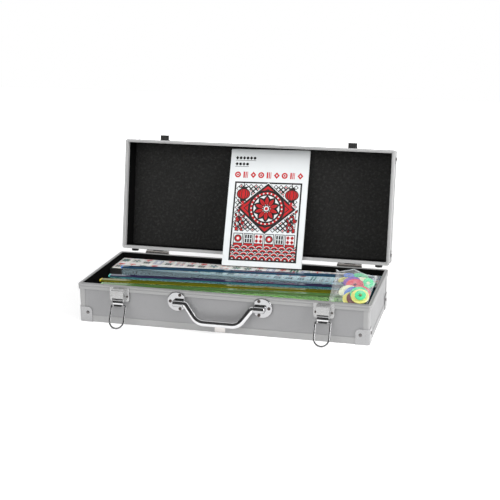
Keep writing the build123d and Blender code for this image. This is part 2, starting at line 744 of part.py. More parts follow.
save("hinge_base_leaves", [drilled(leaf, base_hinge_rivets) for leaf in both_sides(hinge_leaf(False))])
save("hinge_pins", both_sides(hinge_pin()))
save(
    "hardware_packings",
    [drilled(p, front_pins) for p in both_sides(latch_packing()) + both_sides(rosette_packing())],
)
save("latch_plates", [drilled(p, latch_screws) for p in both_sides(latch_plate())])
save("latch_housings", both_sides(latch_housing()))
save("latch_axles", both_sides(latch_axle()))
save("latch_screws", latch_screws)
save("handle_rosettes", [drilled(p, rosette_screws) for p in both_sides(rosette())])
save("rosette_screws", rosette_screws)
save("handle_grip", handle_grip())
for name, lever, loop in zip(("right", "left"), both_sides(latch_lever()), both_sides(latch_loop())):
    save(f"{name}_latch_lever", lever)
    save(f"{name}_latch_loop", loop)

# Lid, built closed and saved open.

lid_rivets = cap_rivets(CLOSED_H - 15.0)
lid_hinge_rivets = [pin for rivet in hinge_rivets(1) for pin in both_sides(rivet)]
catch_pins = [pin for rivet in catch_rivets() for pin in both_sides(rivet)]
lid_pins = lid_rivets + lid_hinge_rivets + catch_pins


def turned_over(sides, z):
    """Frame sides drawn upwards from z = 0, hung downwards from z instead."""
    return [Pos(0, 0, z) * mirror(side, about=Plane.XY) for side in sides]


for name, panel in zip(names, panels(LID_Z + RIM_H - 4, CLOSED_H - FRAME_H + 3)):
    save(f"lid_{name}_panel", drilled(panel, lid_pins), lid=True)
save("lid_rim_frame", turned_over(frame(rim_outline("rebate"), OUTER_R, 0), LID_Z + RIM_H), lid=True)
save("lid_edge_frame", turned_over(frame(edge_outline(), OUTER_R, FRAME_INSET), CLOSED_H), lid=True)
save("lid_corner_posts", corner_posts(LID_Z + RIM_H, CLOSED_H - FRAME_H), lid=True)
lid_caps = [drilled(cap, lid_rivets) for cap in corner_caps(CLOSED_H, -LID_CAP_H)]
save("lid_corner_caps", lid_caps, lid=True)
save("lid_rivets", lid_pins, lid=True)
save(
    "lid_top_board",
    block(LEFT + INNER, RIGHT - INNER, FRONT + INNER, REAR - INNER, CLOSED_H - BOARD_T, CLOSED_H),
    lid=True,
)
foam_z = CLOSED_H - BOARD_T - LEDGE_T
foam = block(
    LEFT + CLEAR, RIGHT - CLEAR, FRONT + CLEAR, REAR - CLEAR, foam_z - FOAM_T, foam_z
) + block(LEFT + ledge_in, RIGHT - ledge_in, FRONT + ledge_in, REAR - ledge_in, foam_z, foam_z + LEDGE_T)
save("lid_foam", foam, lid=True)
save("lid_side_lining", linings(LID_Z + RIM_H, foam_z), lid=True)
save("lid_rear_feet", both_sides(rubber_foot(LID_Z + 16.5)), lid=True)
lid_leaves = [drilled(leaf, lid_hinge_rivets) for leaf in both_sides(hinge_leaf(True))]
save("hinge_lid_leaves", lid_leaves, lid=True)
save("lid_catches", [drilled(hook, catch_pins) for hook in both_sides(catch())], lid=True)

# Contents.

for layer, name in enumerate(("bottom", "middle", "top")):
    save(f"tiles_{name}_layer", tile_layer(layer))
for name, place in RACKS.items():
    save(f"rack_{name}", rack(*place))
save("booklet_cover", booklet_cover())
save("booklet_pages", booklet_pages())
save("booklet_staples", booklet_staples())
save("counter_bag", bag_form(1.0, 0.0) - bag_form(BAG_HOLLOW, FILM))
save("counters", counters())
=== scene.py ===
import json
import random
from math import ceil, cos, dist, pi, radians, sin, tan

import bmesh
import bpy
from mathutils import Matrix, Vector, noise


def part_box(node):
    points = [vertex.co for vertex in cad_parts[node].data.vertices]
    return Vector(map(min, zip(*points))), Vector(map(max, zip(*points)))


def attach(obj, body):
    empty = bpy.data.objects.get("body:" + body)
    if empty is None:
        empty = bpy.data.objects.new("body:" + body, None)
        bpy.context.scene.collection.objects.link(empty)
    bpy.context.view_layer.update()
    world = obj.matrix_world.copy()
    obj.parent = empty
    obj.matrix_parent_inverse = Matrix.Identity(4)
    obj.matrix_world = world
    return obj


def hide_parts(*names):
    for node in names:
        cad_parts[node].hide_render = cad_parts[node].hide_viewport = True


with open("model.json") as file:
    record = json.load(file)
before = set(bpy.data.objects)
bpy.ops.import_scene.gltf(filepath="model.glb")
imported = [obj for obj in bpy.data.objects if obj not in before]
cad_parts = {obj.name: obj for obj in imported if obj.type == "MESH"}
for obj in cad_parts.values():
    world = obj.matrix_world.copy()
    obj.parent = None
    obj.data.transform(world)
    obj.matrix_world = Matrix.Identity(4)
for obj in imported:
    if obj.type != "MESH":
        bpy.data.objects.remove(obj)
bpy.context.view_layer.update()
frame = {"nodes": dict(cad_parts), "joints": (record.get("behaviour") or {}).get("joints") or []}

nodes = frame["nodes"]
joints = {joint["name"]: joint for joint in frame["joints"]}

MM = 0.001
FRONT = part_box("base_front_rim")[0].y  # the front rim's face; depths are measured back from it

# How the lid stands: pieces of the closed lid, turned back about the hinge.
HINGE = Vector(joints["lid_hinge"]["pos_m"])
LID_OPENS = radians(joints["lid_hinge"]["range_deg"][1])
LID_PLACE = Matrix.Translation(HINGE) @ Matrix.Rotation(-LID_OPENS, 4, "X") @ Matrix.Translation(-HINGE)

# Tiles: 23 columns and two rows, with the row nearer the hinges first.
TILE_COLUMNS = 23
TILE_PITCH = Vector((21.1, 30.6)) * MM
TILE_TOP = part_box("tiles_top_layer")[1].z
TILE_HALF_HEIGHT = 15.2 * MM
TILE_BACK_ROW_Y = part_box("tiles_top_layer")[1].y - TILE_HALF_HEIGHT

# Booklet: the front of its foot, its lean back into the lid and its small tilt.
BOOK_FOOT = Vector((23.0 * MM, FRONT + 188.6 * MM, 59.8 * MM))
BOOK_LEAN, BOOK_TILT = radians(25.6), radians(1.1)
BOOK_PLACE = (
    Matrix.Translation(BOOK_FOOT)
    @ Matrix.Rotation(-BOOK_LEAN, 4, "X")
    @ Matrix.Rotation(-BOOK_TILT, 4, "Y")
)

# Racks: left end, rear edge behind the front rim, height of that edge (mm) and rise to the right (degrees).
RACKS = {
    "green": (-221.5, 40.0, 59.2, 1.60),
    "amber": (-232.3, 62.5, 58.95, 1.41),
    "teal": (-227.3, 91.0, 58.4, 1.45),
    "blue": (-220.3, 134.0, 61.9, 1.80),
}
RACK_LEDGE = 10.0 * MM
RACK_THICK = 3.0 * MM

# The racks' colours: looked through and along the ledge, then painted glow on the ledge's lower front edge
# and on its left end.
RACK_TONES = {
    "green": ((0.55, 0.80, 0.45), (0.085, 0.19, 0.05), (0.24, 0.34, 0.15), (0.20, 0.50, 0.15)),
    "amber": ((0.75, 0.72, 0.25), (0.11, 0.12, 0.003), (0.42, 0.34, 0.02), (0.80, 0.62, 0.03)),
    "teal": ((0.45, 0.80, 0.80), (0.030, 0.022, 0.075), (0.06, 0.42, 0.36), (0.08, 0.60, 0.56)),
    "blue": ((0.60, 0.80, 0.88), (0.012, 0.055, 0.11), (0.03, 0.10, 0.17), (0.05, 0.25, 0.75)),
}


# New meshes and objects.


def mesh_of(name, verts, faces):
    mesh = bpy.data.meshes.new(name)
    mesh.from_pydata(verts, [], faces)
    return mesh


def placed(name, data):
    """A new object in the scene."""
    made = bpy.data.objects.new(name, data)
    bpy.context.scene.collection.objects.link(made)
    return made


# Materials.


class Value:
    """A shader socket that can be used in Python arithmetic."""

    def __init__(self, finish, socket):
        self.finish, self.socket = finish, socket

    def maths(self, operation, *values):
        return self.finish.node("Math", dict(enumerate(values)), operation=operation)

    def __add__(self, other):
        return self.maths("ADD", self, other)

    def __sub__(self, other):
        return self.maths("SUBTRACT", self, other)

    def __rsub__(self, other):
        return self.maths("SUBTRACT", other, self)

    def __mul__(self, other):
        return self.maths("MULTIPLY", self, other)

    def __lt__(self, other):
        return self.maths("LESS_THAN", self, other)

    def __gt__(self, other):
        return self.maths("GREATER_THAN", self, other)

    def clamped(self):
        return self.finish.node("Clamp", {"Value": self})

    __radd__ = __add__


def rgba(colour):
    """A colour for a socket; one number stands for a grey."""
    if isinstance(colour, Value):
        return colour
    return (*colour, 1) if isinstance(colour, tuple) else (colour, colour, colour, 1)


class Finish:
    """The nodes of one material, or of the world."""

    def __init__(self, name, tree=None):
        self.material = None
        if tree is None:
            self.material = bpy.data.materials.new(name)
            self.material.use_nodes = True
            tree = self.material.node_tree
        self.tree = tree
        self.tree.nodes.clear()

    def node(self, kind, sockets, output=0, **settings):
        """A new node with values or links on its sockets; gives one of its outputs."""
        made = self.tree.nodes.new(f"ShaderNode{kind}")
        for key, setting in settings.items():
            setattr(made, key, setting)
        for key, value in sockets.items():
            if isinstance(value, Value):
                self.tree.links.new(value.socket, made.inputs[key])
            else:
                made.inputs[key].default_value = value
        return Value(self, made.outputs[output])

    def position(self, turn=0.0, scale=(1, 1, 1)):
        """Where a point lies, in metres on the piece; turn undoes the lid's opening."""
        place = self.node("TexCoord", {}, "Object")
        turned = {"Vector": place, "Rotation": (turn, 0, 0)}
        place = self.node("Mapping", turned)
        return self.node("Mapping", {"Vector": place, "Scale": scale})

    def axes(self, place):
        return [self.node("SeparateXYZ", {"Vector": place}, axis) for axis in "XYZ"]

    def seen_by(self, *rays):
        """1 for these kinds of ray and 0 for the others."""
        kinds = [self.node("LightPath", {}, f"Is {ray} Ray") for ray in rays]
        return sum(kinds[1:], kinds[0]).clamped()

    def grain(self, size, stretch=(1, 1, 1), turn=0.0, detail=3.0, rough=0.5):
        """Noise from 0 to 1 whose features are about size metres, longer where stretch is more."""
        place = self.position(turn, tuple(1 / (size * s) for s in stretch))
        values = {"Vector": place, "Scale": 1.0, "Detail": detail, "Roughness": rough}
        return self.node("TexNoise", values)

    def contrast(self, value, low, high):
        """Spreads low..high over 0..1."""
        values = {"Value": value, "From Min": low, "From Max": high}
        return self.node("MapRange", values, clamp=True)

    def tint(self, factor, first, second):
        """A colour between two, which may themselves be mixed ones."""
        sockets = {0: factor, 6: rgba(first), 7: rgba(second)}
        return self.node("Mix", sockets, 2, data_type="RGBA")

    def raised(self, height, depth):
        """A normal from a height of 0..1 that stands for depth metres."""
        return self.node("Bump", {"Height": height, "Distance": depth, "Strength": 1.0})

    def principled(self, colour, **sockets):
        values = {"Base Color": rgba(colour)}
        values.update({name.replace("_", " "): value for name, value in sockets.items()})
        return self.node("BsdfPrincipled", values)

    def surface(self, colour, **sockets):
        """Ends a material in one principled shader."""
        return self.done(self.principled(colour, **sockets))

    def done(self, shader, output="OutputMaterial"):
        end = self.tree.nodes.new(f"ShaderNode{output}")
        self.tree.links.new(shader.socket, end.inputs["Surface"])
        return self.material


def brushed_aluminium(name, turn=0.0, shade=0.35):
    """Anodised extrusion with fine lines along its length, faint smudges and paler rubbed spots."""
    f = Finish(name)
    line = f.grain(0.0005, (60, 60, 1), turn, 4.0, 0.7)
    smudge = f.contrast(f.grain(0.035, turn=turn), 0.35, 0.7)
    speck = f.contrast(f.grain(0.0011, turn=turn), 0.62, 0.72)
    colour = f.tint(line, shade * 0.88, shade * 1.12)
    colour = f.tint(smudge * 0.25, colour, shade * 0.9)
    colour = f.tint(speck * 0.3, colour, shade * 1.35)
    roughness = 0.34 + line * 0.16 + smudge * 0.08
    return f.surface(colour, Metallic=0.3, Roughness=roughness, Normal=f.raised(line, 0.00003))


SEAM_SHADE_REACH = 1.6 * MM  # how far the painted shade spreads from a seam


def silver_panel(name, turn=0.0, seams=()):
    """Silver laminate over board: a fine pebbled skin, slightly mottled, with painted shade along its
    seams.
    """
    f = Finish(name)
    cells = {"Vector": f.position(turn), "Scale": 1100.0}
    pebble = f.node("TexVoronoi", cells, feature="SMOOTH_F1")
    mottle = f.contrast(f.grain(0.05, turn=turn, detail=5.0), 0.3, 0.7)
    flake = f.grain(0.0006, turn=turn, detail=2.0)
    colour = f.tint(flake, (0.235, 0.235, 0.24), (0.315, 0.315, 0.32))
    colour = f.tint(mottle * 0.25, colour, (0.27, 0.27, 0.275))
    height = f.axes(f.position())[2]
    for seam in seams:
        # Painted shade: the panel is darkened in a band at each seam height.
        seam_shade = 1 - f.contrast((height - seam) * (height - seam), 0, SEAM_SHADE_REACH**2)
        colour = f.tint(seam_shade * 0.5, colour, 0.12)
    return f.surface(
        colour,
        Metallic=0.2,
        Roughness=0.42 + mottle * 0.10,
        Normal=f.raised(pebble, 0.00006),
        Coat_Weight=0.15,
        Coat_Roughness=0.35,
    )


def chrome(name, colour, blur, metal):
    """Bright plating with polishing haze, faint hairlines and pinhead specks."""
    f = Finish(name)
    haze = f.contrast(f.grain(0.012, detail=4.0), 0.35, 0.75)
    hairline = f.contrast(f.grain(0.0003, (40, 1, 3)), 0.60, 0.75)
    speck = f.contrast(f.grain(0.0007), 0.68, 0.74)
    shade = tuple(0.55 * c for c in colour)
    tone = f.tint(speck * 0.5 + hairline * 0.15, colour, shade)
    roughness = blur + haze * 0.06 + hairline * 0.10
    lines = f.raised(hairline, 0.000006)
    return f.surface(tone, Metallic=metal, Roughness=roughness, Normal=lines)


def flocked_lining(name, turn=0.0):
    """Black flock on card: short fibres, with lighter brushed patches and lint."""
    f = Finish(name)
    fibre = f.grain(0.0005, turn=turn, detail=4.0, rough=0.7)
    patch = f.contrast(f.grain(0.03, (1, 1, 0.5), turn), 0.4, 0.7)
    lint = f.contrast(f.grain(0.0016, (3, 1, 1), turn), 0.73, 0.78)
    colour = f.tint(fibre, 0.0008, 0.004)
    colour = f.tint(patch * 0.4, colour, 0.003)
    colour = f.tint(lint * 0.3, colour, 0.03)
    pile = f.raised(fibre, 0.0003)
    return f.surface(colour, Roughness=0.95, Normal=pile, Specular_IOR_Level=0.06)


def open_foam(name, turn=0.0):
    """Charcoal foam: fine open pores, with a mottled nap and paler flecks."""
    f = Finish(name)
    cells = {"Vector": f.position(turn), "Scale": 620.0}
    pore = f.node("TexVoronoi", cells, feature="F1")
    nap = f.contrast(f.grain(0.0035, turn=turn, detail=5.0, rough=0.65), 0.32, 0.68)
    patch = f.contrast(f.grain(0.04, turn=turn), 0.35, 0.7)
    colour = f.tint(nap, (0.003, 0.003, 0.0028), (0.014, 0.014, 0.013))
    colour = f.tint(patch * 0.3, colour, (0.011, 0.011, 0.010))
    fleck = f.contrast(f.grain(0.0045, turn=turn, detail=2.0), 0.52, 0.66)
    colour = f.tint(fleck * 0.5, colour, (0.030, 0.030, 0.029))
    # The pores are painted darker: painted shade in their hollows.
    colour = f.tint(f.contrast(pore, 0.45, 0.1), colour, 0.003)
    pitted = f.raised(pore + nap * 0.6, 0.0006)
    return f.surface(colour, Roughness=0.95, Normal=pitted, Sheen_Weight=0.04)


def black_rubber(name):
    """Moulded rubber, dusty in patches."""
    f = Finish(name)
    mould = f.grain(0.0008, detail=2.0)
    dust = f.contrast(f.grain(0.004, detail=5.0), 0.55, 0.8)
    colour = f.tint(dust * 0.5, (0.010, 0.010, 0.010), (0.05, 0.05, 0.048))
    return f.surface(colour, Roughness=0.6 + dust * 0.2, Normal=f.raised(mould, 0.00006))


def black_board(name):
    """Card faced with black paper, its fibres just showing."""
    f = Finish(name)
    fibre = f.grain(0.0006, (4, 1, 1), detail=3.0)
    colour = f.tint(fibre, (0.010, 0.010, 0.010), (0.030, 0.030, 0.029))
    return f.surface(colour, Roughness=0.85, Normal=f.raised(fibre, 0.00008))


def tile_white(name):
    """Polished melamine, very slightly warmer and duller where fingers have touched it."""
    f = Finish(name)
    cloud = f.contrast(f.grain(0.02, detail=4.0), 0.35, 0.7)
    scratch = f.contrast(f.grain(0.0004, (12, 2, 1)), 0.64, 0.74)
    colour = f.tint(cloud * 0.6, (0.80, 0.79, 0.77), (0.72, 0.70, 0.67))
    return f.surface(
        colour,
        Roughness=0.16 + cloud * 0.12 + scratch * 0.2,
        Subsurface_Weight=0.15,
        Subsurface_Scale=0.002,
        Coat_Weight=0.3,
        Coat_Roughness=0.08,
        Normal=f.raised(scratch, 0.000008),
    )


def ink(name, colour):
    """Paint or printing ink, a little uneven in thickness."""
    f = Finish(name)
    patch = f.contrast(f.grain(0.0035, detail=5.0), 0.35, 0.75)
    pale = tuple(c + (0.5 - c) * 0.06 for c in colour)
    tone = f.tint(patch * 0.6, colour, pale)
    body = f.raised(patch, 0.00002)
    return f.surface(tone, Roughness=0.45 + patch * 0.15, Specular_IOR_Level=0.25, Normal=body)


def acrylic(name, tones, place):
    """Clear coloured sheet: faint seen through, deep along its ledge, with painted glow at its cut edges.
    """
    clear_tone, ledge_tone, edge_glow_tone, end_glow_tone = tones
    left, rear, top, rise = place
    f = Finish(name)
    x, y, z = f.axes(f.position())
    over = (left * MM - x) * tan(radians(rise)) + z - (top * MM - RACK_THICK)
    front = FRONT + rear * MM - RACK_LEDGE
    ledge = over > -0.3 * MM
    edge = (over < 0.9 * MM) * (y < front + 0.3 * MM)
    end = (x < left * MM + 2.5 * MM) * ledge
    scuff = f.contrast(f.grain(0.0005, (30, 4, 1)), 0.62, 0.78)
    smear = f.contrast(f.grain(0.02, (3, 1, 1), detail=4.0), 0.45, 0.75)
    clear = f.principled(
        f.tint(smear * 0.25, clear_tone, tuple(c + (0.9 - c) * 0.3 for c in clear_tone)),
        Roughness=0.03 + scuff * 0.15 + smear * 0.05,
        IOR=1.49,
        Transmission_Weight=0.95,
        Normal=f.raised(scuff, 0.00001),
    )
    glow = f.tint(smear * 0.5, ledge_tone, tuple(0.6 * c for c in ledge_tone))
    # Painted glow: the ledge's lower front edge and its left end are coloured brighter.
    glow = f.tint(edge * 0.9, glow, edge_glow_tone)
    glow = f.tint(end, glow, end_glow_tone)
    lit = f.principled(glow, Roughness=0.12 + scuff * 0.2, IOR=1.49, Specular_Tint=(*end_glow_tone, 1))
    share = (ledge + edge).clamped() * 0.88
    return f.done(f.node("MixShader", {0: share, 1: clear, 2: lit}))


def printed_card(name):
    """White coated cover board, duller where it is rubbed."""
    f = Finish(name)
    tooth = f.grain(0.0005, detail=3.0)
    rub = f.contrast(f.grain(0.03, detail=4.0), 0.4, 0.75)
    colour = f.tint(rub * 0.5, (0.72, 0.745, 0.755), (0.66, 0.685, 0.70))
    return f.surface(
        colour,
        Roughness=0.38 + rub * 0.2,
        Normal=f.raised(tooth, 0.00002),
        Coat_Weight=0.15,
        Coat_Roughness=0.3,
    )


def page_paper(name):
    """The block of pages, whose cut edges show as fine layers."""
    f = Finish(name)
    depth = f.axes(f.position(BOOK_LEAN))[1]
    sheet = f.node("Math", {0: depth * 9000.0}, operation="FRACT")
    tooth = f.grain(0.0008, detail=3.0)
    colour = f.tint(sheet * 0.35 + tooth * 0.2, (0.76, 0.74, 0.69), (0.52, 0.50, 0.46))
    return f.surface(colour, Roughness=0.85, Normal=f.raised(tooth, 0.00004))


def bright_wire(name):
    """Drawn staple wire, unevenly rubbed."""
    f = Finish(name)
    rub = f.grain(0.0006, detail=3.0)
    colour = f.tint(rub, (0.55, 0.55, 0.56), (0.78, 0.78, 0.79))
    return f.surface(colour, Metallic=1.0, Roughness=0.2 + rub * 0.15)


def clear_film(name, milk=0.03):
    """Thin polythene: almost clear face on, milky along its creases and where it turns away."""
    f = Finish(name)
    crease = f.contrast(f.grain(0.009, (1, 2.2, 1), detail=6.0, rough=0.6), 0.46, 0.66)
    fine = f.grain(0.0025, detail=3.0)
    facing = f.node("LayerWeight", {"Blend": 0.35}, "Facing")
    haze = (milk + facing * 0.32 + crease * 0.18).clamped()
    return f.surface(
        f.tint(crease, (0.80, 0.83, 0.85), (0.93, 0.95, 0.96)),
        Roughness=0.16 + fine * 0.12,
        Alpha=haze,
        Normal=f.raised(crease + fine * 0.4, 0.0006),
        Coat_Weight=0.6,
        Coat_Roughness=0.08,
    )


def counter_plastic(name, colour):
    """Moulded ring counter: glossy, faintly swirled, with fine flow lines."""
    f = Finish(name)
    swirl = f.contrast(f.grain(0.006, (2, 1, 1), detail=4.0), 0.35, 0.7)
    rub = f.contrast(f.grain(0.0007), 0.6, 0.75)
    tone = f.tint(swirl * 0.3, colour, tuple(c + (0.9 - c) * 0.12 for c in colour))
    lines = f.raised(rub, 0.00001)
    return f.surface(tone, Roughness=0.22 + rub * 0.2, Normal=lines, Coat_Weight=0.1)


# Camera.

CAMERA_AT = Vector((0.4803, -1.7202, 0.6304))
CAMERA_YAW = radians(14.80)  # to the left of straight on
CAMERA_PITCH = radians(16.12)  # downwards
CAMERA_ROLL = radians(-0.36)
CAMERA_LENS = 78.12  # on a 36 mm wide sensor


def make_camera():
    camera = placed("camera", bpy.data.cameras.new("camera"))
    camera.data.lens = CAMERA_LENS
    camera.data.sensor_width = 36.0
    camera.data.clip_start = 0.05
    camera.data.clip_end = 50.0
    aim = Matrix.Rotation(CAMERA_YAW, 4, "Z") @ Matrix.Rotation(pi / 2 - CAMERA_PITCH, 4, "X")
    camera.matrix_world = Matrix.Translation(CAMERA_AT) @ aim @ Matrix.Rotation(CAMERA_ROLL, 4, "Z")
    bpy.context.scene.camera = camera


# Studio.

WORLD_LIGHT = 0.46
FLOOR_HALF = 2.6
FLOOR_LIFT = 0.30  # how far the table is lifted to white near the case
FLOOR_FADE = 0.3, 1.2  # squared distances between which the table turns wholly white

# Lamps: where they stand, what they face, their size and their power.
LAMPS = {
    "right_lamp": ((2.6, -0.5, 1.2), (0.1, 0, 0.1), (1.8, 1.6), 74),
    "top_lamp": ((-0.4, -1.1, 2.2), (0, 0, 0.05), (2.2, 1.8), 13),
    "front_lamp": ((-0.5, -2.4, 1.3), (0, 0, 0.1), (2.6, 1.4), 36),
}

# Dark screens that only reflections meet. The front one leans back over the case.
SCREENS = {
    "front_screen": [(-1.2, -0.34, 0.004), (0.6, -0.34, 0.004), (0.6, -0.12, 1.0), (-1.2, -0.12, 1.0)],
    "left_screen": [(-1.2, 1.2, 0.004), (-1.2, -0.34, 0.004), (-1.2, -0.34, 0.9), (-1.2, 1.2, 0.9)],
}


def make_world():
    """An even light all round, which the eye and bright metal meet as plain white."""
    world = bpy.data.worlds.new("studio")
    world.use_nodes = True
    bpy.context.scene.world = world
    f = Finish("studio", world.node_tree)
    seen = f.seen_by("Camera", "Glossy", "Transmission")
    light = f.tint(seen, WORLD_LIGHT, 1.0)
    background = f.node("Background", {"Color": light, "Strength": 1.0})
    f.done(background, "OutputWorld")


def floor_finish():
    """White table paper with the faintest tooth; it stays white where no shadow falls."""
    f = Finish("white_table")
    tooth = f.grain(0.002, detail=3.0)
    colour = f.tint(tooth, 0.90, 0.93)
    x, y, _ = f.axes(f.position())
    away = f.contrast(x * x + y * y, *FLOOR_FADE)
    glow = f.tint(away, FLOOR_LIFT, 1.0)
    lift = f.tint(f.seen_by("Camera", "Glossy"), 0.0, glow)
    return f.surface(colour, Roughness=0.9, Emission_Color=lift, Emission_Strength=1.0)


def lamp(name, at, target, size, watts):
    """A soft square lamp."""
    light = bpy.data.lights.new(name, "AREA")
    light.shape = "RECTANGLE"
    light.size, light.size_y = size
    light.energy = watts
    hung = placed(name, light)
    hung.location = at
    hung.rotation_euler = (Vector(target) - Vector(at)).to_track_quat("-Z", "Y").to_euler()


def backdrop(name, corners, material):
    """A flat stage piece that reflections and light meet."""
    made = placed(name, mesh_of(name, corners, [(0, 1, 2, 3)]))
    made.data.materials.append(material)
    return made


def make_studio():
    make_world()
    h = FLOOR_HALF
    backdrop("table", [(-h, -h, 0), (h, -h, 0), (h, h, 0), (-h, h, 0)], floor_finish())
    f = Finish("dark_screen")
    dark = f.surface(f.tint(f.grain(0.01), 0.02, 0.04), Roughness=0.9)
    for name, corners in SCREENS.items():
        screen = backdrop(name, corners, dark)
        for ray in ("camera", "diffuse", "transmission", "shadow"):
            setattr(screen, f"visible_{ray}", False)
    for name, facts in LAMPS.items():
        lamp(name, *facts)


# Pieces and print.


def add_piece(name, body, mesh, material, smooth=False):
    """A finished piece on its body."""
    mesh.validate()
    made = placed(name, mesh)
    mesh.materials.append(material)
    if smooth:
        mesh.polygons.foreach_set("use_smooth", [True] * len(mesh.polygons))
    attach(made, body)
    return made


class Print:
    """Inked shapes on a plane: thin closed prisms, later layers lying over earlier ones."""

    FOOT, FIRST, STEP = 0.02 * MM, 0.05 * MM, 0.012 * MM  # over the face, and between layers

    def __init__(self, place):
        self.place, self.meshes = place, {}

    def shape(self, colour, layer, points):
        """A flat outline, in millimetres across and up the plane."""
        mesh = self.meshes.setdefault(colour, bmesh.new())
        kept = [p for i, p in enumerate(points) if dist(p, points[i - 1]) > 1e-3]
        rings = [
            [mesh.verts.new(self.place @ Vector((u * MM, v * MM, height))) for u, v in kept]
            for height in (self.FOOT, self.FIRST + layer * self.STEP)
        ]
        mesh.faces.new(rings[1])
        mesh.faces.new(list(reversed(rings[0])))
        for i in range(len(kept)):
            j = (i + 1) % len(kept)
            mesh.faces.new((rings[0][i], rings[0][j], rings[1][j], rings[1][i]))

    def oval(self, colour, layer, u, v, a, b, points=28):
        turns = [2 * pi * i / points for i in range(points)]
        self.shape(colour, layer, [(u + a * cos(t), v + b * sin(t)) for t in turns])

    def discs(self, layer, u, v, rings, points=28):
        """Discs one on another, each with its colour and radius."""
        for step, (colour, r) in enumerate(rings):
            self.oval(colour, layer + step, u, v, r, r, points)

    def box(self, colour, layer, u0, u1, v0, v1):
        self.shape(colour, layer, [(u0, v0), (u1, v0), (u1, v1), (u0, v1)])

    def lozenge(self, colour, layer, u, v, a, b):
        self.shape(colour, layer, [(u - a, v), (u, v - b), (u + a, v), (u, v + b)])

    def stroke(self, colour, layer, start, end, width):
        (u0, v0), (u1, v1) = start, end
        length = dist(start, end)
        du, dv = (v1 - v0) * width / 2 / length, (u0 - u1) * width / 2 / length
        outline = [(u0 - du, v0 - dv), (u1 - du, v1 - dv), (u1 + du, v1 + dv), (u0 + du, v0 + dv)]
        self.shape(colour, layer, outline[::-1])

    def leaf(self, colour, layer, u, v, length, width, turn):
        """A pointed leaf that starts at (u, v)."""
        steps = 7
        upper = [(length * i / steps, width / 2 * sin(pi * i / steps)) for i in range(steps + 1)]
        lower = [(p, -q) for p, q in reversed(upper[1:-1])]
        c, s = cos(turn), sin(turn)
        outline = [(u + p * c - q * s, v + p * s + q * c) for p, q in upper + lower]
        self.shape(colour, layer, outline[::-1])

    def done(self, name, body, slot, inks):
        for colour, mesh in self.meshes.items():
            bmesh.ops.recalc_face_normals(mesh, faces=mesh.faces)
            made = bpy.data.meshes.new(f"{name}_{colour}")
            mesh.to_mesh(made)
            mesh.free()
            add_piece(f"{name}_{colour}", body, made, inks[colour])


# Tile marks.

DOT_PLACES = {
    1: [(0, 0)],
    2: [(0, 6), (0, -6)],
    3: [(-5, 8), (0, 0), (5, -8)],
    4: [(-4.5, 7), (4.5, 7), (-4.5, -7), (4.5, -7)],
    5: [(-5, 8), (5, 8), (0, 0), (-5, -8), (5, -8)],
    6: [(-4.5, 8), (4.5, 8), (-4.5, 0), (4.5, 0), (-4.5, -8), (4.5, -8)],
    8: [(u, v) for v in (9, 3, -3, -9) for u in (-4.5, 4.5)],
    9: [(u, v) for v in (8.5, 0, -8.5) for u in (-5.5, 0, 5.5)],
}


# Each mark is drawn round the middle (u, v) of a tile's face, in millimetres.


def dots(page, u, v, number):
    """The dot suit: rings with a bright heart."""
    size = 7.0 if number == 1 else 3.4 if number < 5 else 2.6
    for i, (du, dv) in enumerate(DOT_PLACES[number]):
        colour = ("blue", "red", "green")[(i + number) % 3]
        heart = "green" if colour == "red" else "red"
        rings = ((colour, size), ("white", size * 0.68), (heart, size * 0.4))
        page.discs(0, u + du, v + dv, rings)


def bamboo(page, u, v, number):
    """The bamboo suit: jointed sticks."""
    columns = 2 if number in (2, 4) else 3
    rows = -(-number // columns)
    for i in range(number):
        row, column = divmod(i, columns)
        across = min(columns, number - row * columns)
        du = (column - (across - 1) / 2) * 5.6
        dv = ((rows - 1) / 2 - row) * 24 / rows
        reach = 10.0 / rows
        colour = "red" if i == number // 2 and number % 2 else "green"
        page.box(colour, 0, u + du - 1.3, u + du + 1.3, v + dv - reach, v + dv + reach)
        for knot in (-reach, 0, reach):
            page.oval(colour, 1, u + du, v + dv + knot, 2.1, 1.2, points=12)


def strokes(page, u, v, number):
    """Plain counting strokes over a dark seal of bars."""
    for i in range(number):
        dv = v + 11.0 - i * 3.0
        page.stroke("red", 0, (u - 5.5 + 0.4 * i, dv - 0.4), (u + 5.5, dv + 0.5), 2.0)
    page.stroke("red", 0, (u, v + 12.0), (u - 0.4, v + 1.5), 2.0)
    for dv in (-2.0, -6.0, -10.5):
        page.stroke("dark", 1, (u - 6, v + dv), (u + 6, v + dv + 0.3), 2.1)
    for du in (-4.6, 0.0, 4.6):
        page.stroke("dark", 2, (u + du, v - 11.6), (u + du * 0.9, v - 0.8), 2.0)


def flower(page, u, v, number):
    """Petals round a heart."""
    for i in range(4 + number):
        turn = 2 * pi * i / (4 + number)
        colour = "dark" if i % 2 else "green"
        page.leaf(colour, 0, u + 1.6 * cos(turn), v + 1.6 * sin(turn), 7.4, 3.6, turn)
    page.discs(1, u, v, [("blue", 1.9)])


def frame_mark(page, u, v, number):
    """A double frame."""
    for layer, (colour, a, b) in enumerate(
        (("blue", 7.0, 11.0), ("white", 5.8, 9.8), ("blue", 4.4, 8.4), ("white", 3.4, 7.4))
    ):
        page.box(colour, layer, u - a, u + a, v - b, v + b)


def mark_tiles(inks):
    """A suit and a number for every tile of the top layer."""
    page = Print(Matrix.Translation((0, 0, TILE_TOP)))
    chance = random.Random(136)
    suits = [(strokes, 3), (dots, 9), (bamboo, 9), (strokes, 2), (flower, 4), (strokes, 3), (frame_mark, 1)]
    for row in range(2):
        for column in range(TILE_COLUMNS):
            x = (column - (TILE_COLUMNS - 1) / 2) * TILE_PITCH.x / MM
            y = (TILE_BACK_ROW_Y - row * TILE_PITCH.y) / MM
            suit, most = chance.choice(suits)
            number = chance.randint(1, most)
            if suit is dots and number == 7:
                number = 8
            if suit is bamboo:
                number = max(number, 2)
            suit(page, x, y, number)
    page.done("tile_mark", "base", "white_tile", inks)


# Booklet cover.

